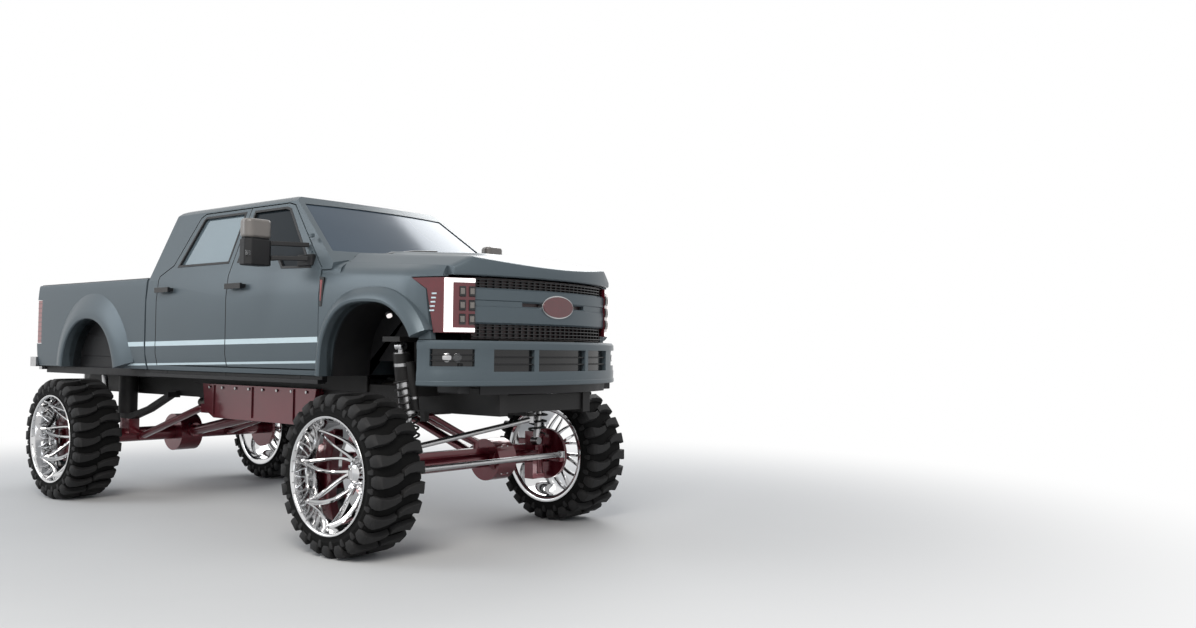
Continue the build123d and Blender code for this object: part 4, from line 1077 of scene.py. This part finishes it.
def arm_mesh(column):
    """One spoke arm; column is the sweep column of the table."""
    steps = 20
    rows = [between(ARM_STATIONS, step / steps) for step in range(steps + 1)]
    spots = [Vector((r[0] * sin(radians(r[column])), r[1], r[0] * cos(radians(r[column])))) for r in rows]
    corners = ((-1, -0.5), (-0.6, -1), (0.6, -1), (1, -0.5), (1, 0.5), (0.6, 1), (-0.6, 1), (-1, 0.5))
    loops = []
    for step, row in enumerate(rows):
        ahead = (spots[min(step + 1, steps)] - spots[max(step - 1, 0)]).normalized()
        angle = radians(row[column])
        across = Vector((cos(angle), 0, -sin(angle)))
        across = (across - ahead * across.dot(ahead)).normalized()
        across = Matrix.Rotation(radians(row[4]), 3, ahead) @ across
        up = ahead.cross(across)
        loops.append([spots[step] + across * row[2] / 2 * a + up * row[3] / 2 * b for a, b in corners])
    return solid_of(loops)


def plug_mesh(radius, low, high, spread, crown):
    """A six-sided plug beside the axle, such as a nut, at its distance from the axle."""
    return solid_of([
        [(r * cos(2 * pi * k / 6), along, spread + r * sin(2 * pi * k / 6)) for k in range(6)]
        for along, r in ((low, radius), (high, radius), (high + crown, radius * 0.55))
    ])


HUB_RING = (
    (-115, 60), (-115, 122), (-78, 122), (-73, 116), (-73, 72), (-60, 66), (-20, 60), (-14, 52), (-14, 0.5),
    (-100, 0.5),
)
rim_mesh = joined("rim", [
    (lathe(BARREL), polished),
    (lathe(HUB_RING, 64), polished),
    around_axle(arm_mesh(5), SPOKES, polished),
    around_axle(arm_mesh(6), SPOKES, polished),
    around_axle(plug_mesh(13, -76, -48, 92, 4), SPOKES, steel, pi / SPOKES),
    around_axle(plug_mesh(5, 184, 206, 380, 1), 32, steel),
], 40)
print("rim faces", len(rim_mesh.polygons))

# %% [markdown]
# Every wheel is the same pair of meshes, carried to its place. The dish faces outwards, so the wheels on the
# right side are turned half round about the upright axis, which keeps their faces the right way out.

# %% Four wheels


def at_wheel(mesh, place):
    """A copy of a wheel mesh at that wheel's centre, with its dish outwards."""
    low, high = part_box("tyre_" + place)
    move = Matrix.Translation((low + high) / 2)
    if place.endswith("right"):
        move = move @ Matrix.Rotation(pi, 4, "Z")
    carried = mesh.copy()
    carried.transform(move)
    return carried


for place in PLACES:
    for kind, mesh in (("tyre", tyre_mesh), ("rim", rim_mesh)):
        piece = own_mesh(kind + "_" + place + "_look", at_wheel(mesh, place))
        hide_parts(kind + "_" + place)
        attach(piece, "wheel_" + place)

# %% [markdown]
# Small things finish the truck: a fender vent with a red accent, coil-overs with their reservoirs, lights in
# the arches, ribs and bolts on the lift frame, brake calipers, the cowl with its wipers, and bolted covers on
# the two axles.

# %% Trim and small parts
AXLE_HEIGHT, FRONT_AXLE_X, REAR_AXLE_X = 545, 2160, -1896
VENT = ((1606, 1690), (1632, 1690), (1656, 1900), (1606, 1908))
ACCENT = ((1612, 1730), (1622, 1730), (1640, 1880), (1612, 1884))
SHOCK_DRUMS = (
    # start and end along the damper, how far in front of it, radius, finish
    (500, 700, 0, 62, frame_black),
    (610, 632, 0, 64, steel),
    (300, 640, 84, 30, frame_black),
    (380, 396, 84, 31.5, steel),
)
ARCH_LIGHTS = (
    # front x and z, back x and z, radius, finish
    (1990, 1640, 2002, 1622, 20, white_lamp),
    (1986, 1648, 1996, 1634, 25, steel),
    (-2040, 1560, -2030, 1544, 20, white_lamp),
    (-2044, 1568, -2034, 1554, 25, steel),
)


def tube(points, radius, sides):
    """A round bar along a line of points."""
    loops = []
    spots = [Vector(point) for point in points]
    side = None
    for spot, place in enumerate(spots):
        ahead = (spots[min(spot + 1, len(spots) - 1)] - spots[max(spot - 1, 0)]).normalized()
        if side is None:
            side = ahead.orthogonal().normalized()
        side = (side - ahead * side.dot(ahead)).normalized()
        up = ahead.cross(side)
        turns = [2 * pi * k / sides for k in range(sides)]
        loops.append([place + (side * cos(turn) + up * sin(turn)) * radius for turn in turns])
    return solid_of(loops)


def drum(start, end, radius, sides=24):
    """A short round bar between two points."""
    return tube((start, end), radius, sides)


def coil(low, high, radius, wire, turns):
    """A spring's wire round the line between two points."""
    low, high = Vector(low), Vector(high)
    way = (high - low).normalized()
    side = way.orthogonal().normalized()
    up = way.cross(side)
    steps = turns * 18
    angles = [2 * pi * turns * k / steps for k in range(steps + 1)]
    return tube([low + (high - low) * k / steps + (side * cos(angle) + up * sin(angle)) * radius
                 for k, angle in enumerate(angles)], wire, 8)


for side, name in SIDES:
    placed("fender_vent_" + name, [
        (prism("side", VENT, *sorted((side * 950, side * 963))), gloss_black),
        (prism("side", ACCENT, *sorted((side * 950, side * 965))), tail_red),
    ], "chassis", edge=0.002)
    low, high = Vector((2270, side * 650, 671)), Vector((2270, side * 760, 1410))
    way = (high - low).normalized()
    shock = [(drum(low + way * 40, low + way * 300, 27), steel),
             (coil(low + way * 60, low + way * 520, 66, 8, 9), frame_black)]
    for start, end, ahead, radius, skin in SHOCK_DRUMS:
        foot = low + Vector((ahead, 0, 0))
        shock.append((drum(foot + way * start, foot + way * end, radius), skin))
    placed("coil_over_" + name, shock, "chassis", edge=0)
    placed("arch_lights_" + name, [
        (drum((x0, side * 640, z0), (x1, side * 640, z1), radius), skin)
        for x0, z0, x1, z1, radius, skin in ARCH_LIGHTS
    ], "chassis", edge=0)
    ribs = [(box(x, x + 14, 558, 572, 800, 1060, side), red_coat) for x in (-420, 160, 740)]
    for x in range(-480, 1000, 200):
        ribs.append((drum((x, side * 556, 1040), (x, side * 572, 1040), 13, 6), steel))
    placed("lift_ribs_" + name, ribs, "chassis", edge=0.001)
    placed("caliper_" + name, [(box(1880, 1965, 862, 948, 480, 660, side), red_coat)], "knuckle_" + name,
           edge=0.008)

cowl_line = [(x - 190, y) for x, y in bow_line((1970, 110, 712), steps=20)]
cowl_parts = [(plan_sweep(cowl_line, ((-70, 2030), (14, 2030), (14, 2070), (-70, 2094))), black_plastic)]
for y0, y1 in ((-520, 80), (120, 700)):
    foot, tip = Vector((1800, y0, 2096)), Vector((1700, y1, 2168))
    cowl_parts.append((tube((foot, foot.lerp(tip, 0.5) + Vector((6, 0, 10)), tip), 6, 8), gloss_black))
placed("cowl_and_wipers", cowl_parts, "chassis", edge=0.001)

covers = []
for x, y, radius, count in ((FRONT_AXLE_X + 112, 280, 118, 10), (REAR_AXLE_X - 122, 0, 132, 12)):
    way = 1 if x > 0 else -1
    for k in range(count):
        turn = 2 * pi * k / count
        y_bolt, z_bolt = y + radius * 0.9 * cos(turn), AXLE_HEIGHT + radius * 0.9 * sin(turn)
        covers.append((drum((x - way * 12, y_bolt, z_bolt), (x + way * 12, y_bolt, z_bolt), 9, 6), steel))
    covers.append((drum((x - way * 40, y, AXLE_HEIGHT), (x + way * 6, y, AXLE_HEIGHT), radius, 32), red_coat))
placed("axle_covers", covers, "chassis", edge=0.002)

# %% [markdown]
# The stage is a pale floor and a white surround. The floor fades to the surround's white with distance, for
# the rays that the camera, metal and glass see, and it keeps the truck's shadow. Lamps and world light the
# truck at a plain level.

# %% Floor and light
FADE_START, FADE_END = 3.5, 8.5
FLOOR_HALF = 60


def seen_rays(tree):
    """1 for camera, glossy and see-through rays."""
    rays = tree.nodes.new("ShaderNodeLightPath").outputs
    found = rays["Is Camera Ray"]
    for kind in ("Is Glossy Ray", "Is Transmission Ray"):
        either = add_node(tree, "ShaderNodeMath", {0: found, 1: rays[kind]}, operation="MAXIMUM")
        found = either.outputs["Value"]
    return found


pale_floor = finish("pale_floor", (0.60, 0.60, 0.595), (0.66, 0.66, 0.65), 0.6, (0.7, 0.85), 90, 0.1, 0.002)
tree = pale_floor.node_tree
place = add_node(tree, "ShaderNodeTexCoord", {}).outputs["Object"]
far = add_node(tree, "ShaderNodeVectorMath", {0: place}, operation="LENGTH").outputs["Value"]
fade = add_node(tree, "ShaderNodeMapRange", {"Value": far, "From Min": FADE_START, "From Max": FADE_END},
                interpolation_type="SMOOTHSTEP").outputs["Result"]
amount = add_node(tree, "ShaderNodeMath", {0: fade, 1: seen_rays(tree)}, operation="MULTIPLY")
glow = add_node(tree, "ShaderNodeEmission", {}).outputs["Emission"]
matt = tree.nodes["Principled BSDF"].outputs["BSDF"]
blend = add_node(tree, "ShaderNodeMixShader", {0: amount.outputs["Value"], 1: matt, 2: glow})
tree.links.new(blend.outputs["Shader"], tree.nodes["Material Output"].inputs["Surface"])
floor_mesh = bpy.data.meshes.new("floor")
floor_mesh.from_pydata([(x * FLOOR_HALF, y * FLOOR_HALF, 0) for x, y in ((-1, -1), (1, -1), (1, 1), (-1, 1))],
                       [], [(0, 1, 2, 3)])
floor_mesh.materials.append(pale_floor)
floor = own_mesh("floor", floor_mesh)

world = bpy.data.worlds.new("surround")
bpy.context.scene.world = world
world.use_nodes = True
tree = world.node_tree
white = add_node(tree, "ShaderNodeBackground", {"Color": (1, 1, 1, 1)}).outputs["Background"]
soft = tree.nodes["Background"]
soft.inputs["Color"].default_value = (0.84, 0.90, 1.0, 1)
soft.inputs["Strength"].default_value = 0.45
choice = add_node(tree, "ShaderNodeMixShader", {0: seen_rays(tree), 1: soft.outputs["Background"], 2: white})
tree.links.new(choice.outputs["Shader"], tree.nodes["World Output"].inputs["Surface"])


def lamp(name, place, target, size, power, tint=(1, 1, 1)):
    """A soft square lamp that looks at its target."""
    light = bpy.data.lights.new(name, "AREA")
    light.shape = "SQUARE"
    light.size = size
    light.energy = power
    light.color = tint
    piece = bpy.data.objects.new(name, light)
    bpy.context.scene.collection.objects.link(piece)
    piece.location = place
    piece.rotation_euler = (Vector(target) - Vector(place)).to_track_quat("-Z", "Y").to_euler()


lamp("key", (7, -7, 8), (0, 0, 1.4), 5, 800, (1, 0.97, 0.93))
lamp("fill", (-6, -8, 6), (0, 0, 1.2), 6, 380, (0.92, 0.96, 1))
lamp("back", (-3, 9, 7), (0, 0, 1.5), 6, 450)

# %% [markdown]
# The camera stands where a fit of the photograph's wheels, windows and doors puts it: low, in front of the
# right front corner. The focal length is in pixels of the 1196 pixel wide photograph.

# %% The camera
PHOTO_WIDTH = 1196
FOCAL_PIXELS = 1037
CAMERA_PLACE = Vector((7.857, -5.534, 1.388))
YAW, PITCH, ROLL = radians(38.75), radians(2.06), radians(0.60)
ahead = Vector((-sin(YAW) * cos(PITCH), cos(YAW) * cos(PITCH), sin(PITCH)))
right = ahead.cross(Vector((0, 0, 1))).normalized()
upward = right.cross(ahead)
right, upward = right * cos(ROLL) + upward * sin(ROLL), upward * cos(ROLL) - right * sin(ROLL)
view = bpy.data.cameras.new("view")
view.sensor_width = 36
view.lens = FOCAL_PIXELS / PHOTO_WIDTH * view.sensor_width
view.clip_end = 200
camera = bpy.data.objects.new("camera", view)
bpy.context.scene.collection.objects.link(camera)
camera.matrix_world = Matrix((
    (right.x, upward.x, -ahead.x, CAMERA_PLACE.x),
    (right.y, upward.y, -ahead.y, CAMERA_PLACE.y),
    (right.z, upward.z, -ahead.z, CAMERA_PLACE.z),
    (0, 0, 0, 1),
))
bpy.context.scene.camera = camera
bpy.context.scene.view_settings.view_transform = "Standard"
